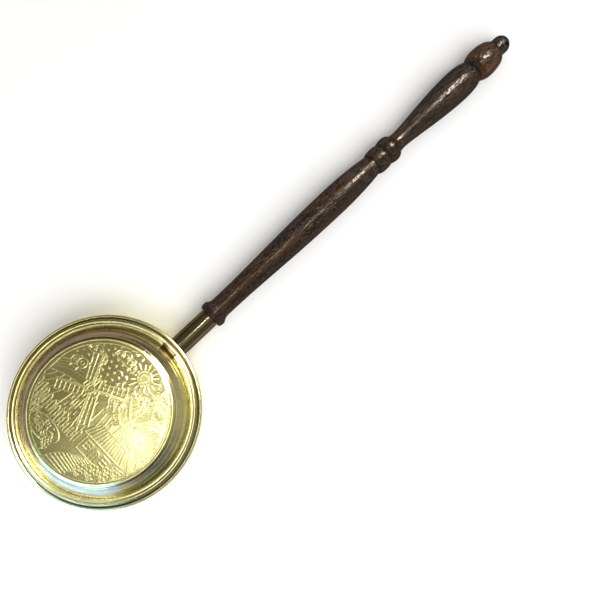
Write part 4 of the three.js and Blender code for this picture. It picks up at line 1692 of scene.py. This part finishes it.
@dataclass
class Handle:
    """The turned wooden handle and the black peg in its end."""

    pan: Pan
    height: float = 18.0
    ferrule_length: float = 39.0
    tenon_start: float = 72.7
    tenon_radius: float = 7.5
    screw_hole_end: float = 97.16
    screw_hole: float = 2.3
    collar_length: float = 12.4
    collar_radius: float = 11.9
    neck_radius: float = 9.2
    lower_swell: float = 136.0
    lower_taper: float = 48.2
    lower_radius: float = 12.7
    waist_radius: float = 9.45
    lower_bead: float = 14.4
    lower_bead_radius: float = 11.6
    groove_radius: float = 9.9
    upper_bead: float = 11.8
    upper_bead_radius: float = 12.0
    throat_length: float = 8.6
    throat_radius: float = 8.05
    upper_swell: float = 75.0
    upper_taper: float = 21.8
    upper_radius: float = 14.15
    knob_neck: float = 9.9
    knob_swell: float = 12.2
    knob_taper: float = 18.0
    knob_radius: float = 14.3
    knob_end: float = 8.5
    peg_radius: float = 8.3
    peg_length: float = 16.6
    peg_tenon_radius: float = 4.0
    peg_tenon: float = 12.0
    hole_radius: float = 1.7
    hole_from_tip: float = 8.0
    hole_roll: float = math.radians(30)
    segments: int = 128

    @property
    def ferrule_end(self) -> float:
        """The place along the handle where the ferrule ends."""
        return self.pan.wall_face + self.ferrule_length

    @property
    def start(self) -> float:
        """The place along the handle where the wood begins to show."""
        return self.ferrule_end + CLEARANCE

    @property
    def lean(self) -> Lean:
        """The slope that lets the knob's widest ring stand on the floor."""
        return Lean(self.height, self.knob_radius, self.pan.wall_face, self._stations()[-2])

    def _stations(self) -> list[float]:
        """Gives the places along the handle where one form meets the next."""
        lengths = (
            self.collar_length, self.lower_swell, self.lower_taper,
            self.lower_bead, self.upper_bead, self.throat_length,
            self.upper_swell, self.upper_taper, self.knob_swell, self.knob_taper,
        )
        places = [self.start]
        for length in lengths:
            places.append(places[-1] + length)
        return places

    @staticmethod
    def _swell(
        start: Point, end: Point, leave: float, arrive: float, fall: float, steps: int
    ) -> Line:
        """Gives a long curve that leaves its start level.

        Args:
            start: Its first point.
            end: Its last point.
            leave: The share of its length over which it leaves the start.
            arrive: The share of its length over which it comes to the end.
            fall: How far it comes down, or up where negative, over that last share.
            steps: The number of stretches between its points.

        Returns:
            The points from one end to the other.
        """
        length = end[0] - start[0]
        leaving = (start[0] + leave * length, start[1])
        arriving = (end[0] - arrive * length, end[1] + fall)
        return bezier((start, leaving, arriving, end), steps)

    def outline(self) -> Line:
        """Gives the handle's outline from the collar to the end of the knob."""
        collar, neck, thick, waist, groove, bead_end, *further = self._stations()
        throat, upper, knob_neck, knob, end = further
        top = (collar + self.collar_length * 0.38, self.collar_radius)
        cove = (collar + self.collar_length * 0.62, (self.collar_radius + self.neck_radius) / 2)
        lower = (thick, self.lower_radius)
        waist_at = (waist, self.waist_radius)
        upper_at = (upper, self.upper_radius)
        neck_at = (knob_neck, self.knob_neck)
        throat_at = (throat, self.throat_radius)
        knob_at = (knob, self.knob_radius)
        shoulder = (self.knob_neck + self.knob_radius) / 2
        knob_foot = (knob_neck + self.knob_swell * 0.1, shoulder)
        knob_top = (knob - self.knob_swell * 0.5, self.knob_radius)
        hollow = (bead_end + self.throat_length * 0.2, self.throat_radius)
        waist_fall = (self.lower_radius - self.waist_radius) * 0.4
        neck_fall = (self.upper_radius - self.knob_neck) * 0.68
        knob_fall = (self.knob_radius - self.knob_end) * 0.72
        return joined(
            bezier(((collar, self.neck_radius), (collar, self.collar_radius), top), 14),
            bezier((top, ((top[0] + cove[0]) / 2, top[1]), cove), 8),
            bezier((cove, ((cove[0] + neck) / 2, self.neck_radius), (neck, self.neck_radius)), 8),
            self._swell((neck, self.neck_radius), lower, 0.32, 0.43, 0.0, 44),
            self._swell(lower, waist_at, 0.5, 0.19, waist_fall, 24),
            self._bead(waist, groove, self.lower_bead_radius),
            self._bead(groove, bead_end, self.upper_bead_radius),
            bezier(((bead_end, self.groove_radius), hollow, throat_at), 10),
            self._swell(throat_at, upper_at, 0.15, 0.37, 0.0, 34),
            self._swell(upper_at, neck_at, 0.5, 0.15, neck_fall, 24),
            bezier((neck_at, knob_foot, knob_top, knob_at), 16),
            self._swell(knob_at, (end, self.knob_end), 0.5, 0.08, knob_fall, 20),
        )

    def _bead(self, start: float, end: float, radius: float) -> Line:
        """Gives a half-round bead."""
        half = (end - start) / 2
        radii = (half, radius - self.groove_radius)
        return arc((start + half, self.groove_radius), radii, math.pi, 0, 22)

    def _build_wood(self) -> None:
        """Makes the wooden handle."""
        stations = self._stations()
        end = stations[-1]
        hole = self.peg_tenon_radius + CLEARANCE
        hole_end = end - self.peg_tenon
        shown = [(along, radius - 0.01) for along, radius in self.outline()]
        outline = joined(
            [(self.screw_hole_end, 0.0), (self.screw_hole_end, self.screw_hole)],
            [(self.tenon_start, self.screw_hole), (self.tenon_start, self.tenon_radius)],
            [(self.start, self.tenon_radius)], shown,
            [(end, hole), (hole_end, hole), (hole_end, 0.0)],
        )
        wood = Piece("handle_turned", Body.PAN, Slot.WOOD, ("handle",))
        wood.build(*turned(outline, self.segments, Axis.HANDLE), self.lean.matrix())
        at = wood.places()
        # Painted shade, mixed with grime, in the grooves where one turned form meets the next.
        soil = np.zeros(len(at))
        for index, reach in ((0, 1.2), (3, 1.8), (4, 1.8), (5, 2.2), (8, 2.4)):
            soil = np.maximum(soil, eased(1.0 - np.abs(at[:, 0] - stations[index]) / reach))
        wood.mark("soil", soil)
        wood.dress(LacqueredWood("handle_lacquer"), 34.0)

    def _build_peg(self) -> None:
        """Makes the black peg with the hole it hangs by."""
        face = self._stations()[-1] + CLEARANCE
        tip = face + self.peg_length
        shown = self.peg_radius - 0.02
        dome = arc((tip - self.peg_radius, 0.0), (shown, shown), QUARTER, 0, 28)
        outline = joined(
            [(face - self.peg_tenon, 0.0), (face - self.peg_tenon, self.peg_tenon_radius)],
            [(face, self.peg_tenon_radius), (face, self.peg_radius - 0.4)],
            [(face + 0.4, shown)],
            straight((face + 0.8, shown), (tip - self.peg_radius, shown), 6),
            dome[1:-1], [(tip - 0.02, 0.0)],
        )
        peg = Piece("finial_peg", Body.PAN, Slot.EBONY, ("finial",))
        peg.build(*turned(outline, 96, Axis.HANDLE), self.lean.matrix())
        reach = 2 * self.peg_radius
        drill = turned(rod(-reach, reach, self.hole_radius), 40, Axis.HANDLE)
        upright = Matrix.Rotation(self.hole_roll, 4, "X") @ Matrix.Rotation(QUARTER, 4, "Y")
        place = self.lean.matrix() @ Matrix.Translation((tip - self.hole_from_tip, 0, 0)) @ upright
        peg.cut(*drill, place)
        peg.soften(0.35, 3)
        finish = LacqueredWood(
            "peg_black",
            dark=(0.008, 0.006, 0.005),
            middle=(0.014, 0.010, 0.008),
            warm=(0.020, 0.014, 0.010),
            knob=(0.014, 0.010, 0.008),
        )
        peg.dress(finish, 34.0)

    def build(self) -> None:
        """Makes the handle and its peg."""
        self._build_wood()
        self._build_peg()


# --- the studio ---------------------------------------------------------------------------------


class Reach(Enum):
    """What a light acts on."""

    SHEEN = "sheen only"
    MATT = "matt only"


def turn_of(*columns: Sequence[float]) -> Matrix:
    """Gives the turn that takes X, Y and Z to three directions."""
    return Matrix([[column[row] for column in columns] for row in range(3)]).to_4x4()


@dataclass(frozen=True)
class Light:
    """A rectangular light that the camera doesn't see."""

    name: str
    size: Point
    radiance: float
    colour: Colour
    reach: Reach

    def hang(self, place: Matrix) -> None:
        """Makes the light at its place. It shines along its own -Z."""
        data = bpy.data.lights.new(self.name, "AREA")
        data.shape = "RECTANGLE"
        data.size, data.size_y = self.size
        data.energy = self.radiance * math.pi * data.size * data.size_y
        data.color = self.colour
        light = bpy.data.objects.new(self.name, data)
        light.matrix_world = place
        light.visible_camera = False
        light.visible_glossy = self.reach is Reach.SHEEN
        light.visible_diffuse = self.reach is Reach.MATT
        bpy.context.scene.collection.objects.link(light)


@dataclass(frozen=True)
class SoftBox:
    """A soft rectangular light, placed by how far it stands off the vertical."""

    name: str
    tilt: Point
    spread: Point
    radiance: float
    colour: Colour = (1.0, 1.0, 1.0)
    distance: float = 1.5
    reach: Reach = Reach.SHEEN

    def hang(self, middle: Vector) -> None:
        """Hangs the light.

        Args:
            middle: The point of the object that it faces.
        """
        outward = Vector((*(math.tan(math.radians(t)) for t in self.tilt), 1.0))
        outward.normalize()
        along = Vector((1.0, 0.0, 0.0)) - outward * outward.x
        along.normalize()
        wide, deep = (2 * self.distance * math.tan(math.radians(s / 2)) for s in self.spread)
        place = Matrix.Translation(middle + outward * self.distance)
        place = place @ turn_of(along, outward.cross(along), outward)
        Light(self.name, (wide, deep), self.radiance, self.colour, self.reach).hang(place)


@dataclass(frozen=True)
class StandingPanel:
    """A bright upright panel that stands on the floor outside the picture, seen in the brass."""

    name: str
    start: Point
    end: Point
    height: float
    radiance: float
    colour: Colour

    def stand(self) -> None:
        """Stands the panel with its face towards the left of the line from its start to its end."""
        along = Vector((self.end[0] - self.start[0], self.end[1] - self.start[1], 0.0))
        size = (along.length, self.height)
        along.normalize()
        upward = Vector((0.0, 0.0, 1.0))
        x, y = ((a + b) / 2 for a, b in zip(self.start, self.end))
        place = Matrix.Translation((x, y, self.height / 2 + 0.002))
        place = place @ turn_of(along, upward, along.cross(upward))
        Light(self.name, size, self.radiance, self.colour, Reach.SHEEN).hang(place)


@dataclass(frozen=True)
class FloorGlow:
    """A patch of the floor that the window lights, seen only in the brass."""

    name: str
    middle: Point
    spread: Point
    turn: float
    radiance: float
    colour: Colour

    def lay(self) -> None:
        """Lays the glow just above the floor, facing up."""
        place = Matrix.Translation((*self.middle, 0.001))
        place = place @ Matrix.Rotation(self.turn, 4, "Z") @ Matrix.Rotation(math.pi, 4, "X")
        Light(self.name, self.spread, self.radiance, self.colour, Reach.SHEEN).hang(place)


@dataclass
class Studio:
    """A white sheet on a grey floor, the soft lights and the camera."""

    middle: tuple[float, float, float] = (0.10, 0.0, 0.03)
    floor_half: float = 3.0
    sheet_middle: Point = (0.177, -0.041)
    sheet_half: float = 0.300
    camera_at: tuple[float, float, float] = (0.1164, -0.0741, 0.4962)
    camera_right: tuple[float, float, float] = (0.71601, -0.69687, 0.04128)
    camera_up: tuple[float, float, float] = (0.68754, 0.7142, 0.13119)
    camera_back: tuple[float, float, float] = (-0.12091, -0.06555, 0.9905)
    focal_pixels: float = 565.0
    image_pixels: float = 600.0
    sensor_width: float = 36.0
    soft_boxes: tuple[SoftBox, ...] = (
        SoftBox("ceiling", (-8.0, -14.0), (40.0, 46.0), 0.52, (1.0, 0.99, 0.96), 1.7),
        SoftBox("lamp", (-13.0, -3.0), (30.0, 18.0), 0.10),
        SoftBox("lamp_core", (-15.3, 0.8), (8.5, 9.0), 6.0, distance=1.4),
        SoftBox("near_strip", (12.0, -1.0), (26.0, 1.4), 185.0),
        SoftBox("far_strip", (40.0, 3.0), (22.0, 20.0), 80.0),
        SoftBox("window", (-60.0, -16.0), (22.0, 50.0), 8.0, (0.42, 0.68, 1.0), 1.2),
        SoftBox("sky", (0.0, 0.0), (84.0, 84.0), 0.48, distance=2.2, reach=Reach.MATT),
        SoftBox("fill", (-6.0, -38.0), (46.0, 46.0), 4.0, distance=2.4, reach=Reach.MATT),
    )
    panel: StandingPanel = StandingPanel(
        "window_panel", (-0.132, 0.020), (-0.100, -0.120), 0.12, 2.0, (0.02, 0.24, 1.0)
    )
    glow: FloorGlow = FloorGlow(
        "window_glow", (-0.115, -0.060), (0.085, 0.150), math.radians(14), 2.0, (0.02, 0.24, 1.0)
    )
    floor_white: Colour = (0.93, 0.93, 0.93)
    floor_grey: Colour = (0.62, 0.61, 0.59)
    floor_fade: float = 0.5
    floor_drop: float = 0.0002
    wall_lit: Colour = (0.40, 0.39, 0.37)
    wall_dim: Colour = (0.18, 0.17, 0.16)
    wall_pale: Colour = (0.80, 0.78, 0.72)
    above: Colour = (0.38, 0.37, 0.35)
    overhead: Colour = (0.42, 0.40, 0.325)

    def _floor(self) -> None:
        """Makes the floor, which is a white sheet under the object and grey beyond it."""
        half = self.floor_half
        mesh = bpy.data.meshes.new("floor")
        corners = [(-half, -half, 0.0), (half, -half, 0.0), (half, half, 0.0), (-half, half, 0.0)]
        mesh.from_pydata(corners, [], [(0, 1, 2, 3)])
        floor = bpy.data.objects.new("floor", mesh)
        floor.location.z = -self.floor_drop
        bpy.context.scene.collection.objects.link(floor)
        made = bpy.data.materials.new("pale_floor")
        made.use_nodes = True
        recipe = Recipe(made.node_tree)
        x, y, _ = recipe.parts(recipe.place())
        out_x, out_y = x - self.sheet_middle[0], y - self.sheet_middle[1]
        right, up = self.camera_right, self.camera_up
        across = (out_x * right[0] + out_y * right[1]).size()
        along = (out_x * up[0] + out_y * up[1]).size()
        beyond = across.larger(along).step(self.sheet_half, self.sheet_half + self.floor_fade)
        colour = recipe.mix(beyond, self.floor_white, self.floor_grey)
        recipe.end(recipe.node("ShaderNodeBsdfDiffuse", sockets={"Color": colour}))
        mesh.materials.append(made)

    def _world(self) -> None:
        """Makes the dim room round the object, with a paler wall beyond the handle's right."""
        world = bpy.data.worlds.new("room")
        world.use_nodes = True
        bpy.context.scene.world = world
        recipe = Recipe(world.node_tree)
        ray = recipe.node("ShaderNodeTexCoord", output="Generated")
        x, y, z = recipe.parts(ray)
        dim = (y * 0.9 + x * 0.4).step(0.0, 0.9)
        pale = (x * 0.77 - y * 0.62 + z * 0.16).step(0.60, 0.97)
        overhead = (z * 0.915 - x * 0.285 + y * 0.285).step(0.90, 0.985)
        colour = recipe.mix(dim, self.wall_lit, self.wall_dim)
        colour = recipe.mix(pale, colour, self.wall_pale)
        colour = recipe.mix(z.step(0.25, 0.75), colour, self.above)
        colour = recipe.mix(overhead, colour, self.overhead)
        shader = recipe.node("ShaderNodeBackground", sockets={"Color": colour, "Strength": 1.0})
        recipe.end(shader, "ShaderNodeOutputWorld")

    def _camera(self) -> None:
        """Places the camera."""
        data = bpy.data.cameras.new("camera")
        data.sensor_width = self.sensor_width
        data.lens = self.sensor_width * self.focal_pixels / self.image_pixels
        data.clip_start = 0.01
        data.clip_end = 20.0
        camera = bpy.data.objects.new("camera", data)
        turn = turn_of(self.camera_right, self.camera_up, self.camera_back)
        camera.matrix_world = Matrix.Translation(self.camera_at) @ turn
        bpy.context.scene.collection.objects.link(camera)
        bpy.context.scene.camera = camera

    def build(self) -> None:
        """Makes the studio."""
        self._floor()
        for soft_box in self.soft_boxes:
            soft_box.hang(Vector(self.middle))
        self.panel.stand()
        self.glow.lay()
        self._world()
        self._camera()
        bpy.context.scene.view_settings.view_transform = "Standard"


def main() -> None:
    """Builds the object and the studio."""
    logging.basicConfig(level=logging.INFO, format="%(name)s: %(message)s")
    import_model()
    pan = Pan()
    lid = Lid(pan)
    strap = HingeStrap(lid)
    handle = Handle(pan)
    pan.build()
    lid.build()
    strap.build()
    Fixings(handle.lean, strap.washer_face).build()
    Ferrule(pan, handle.lean, handle.ferrule_end).build()
    handle.build()
    Studio().build()


if __name__ == "__main__":
    main()
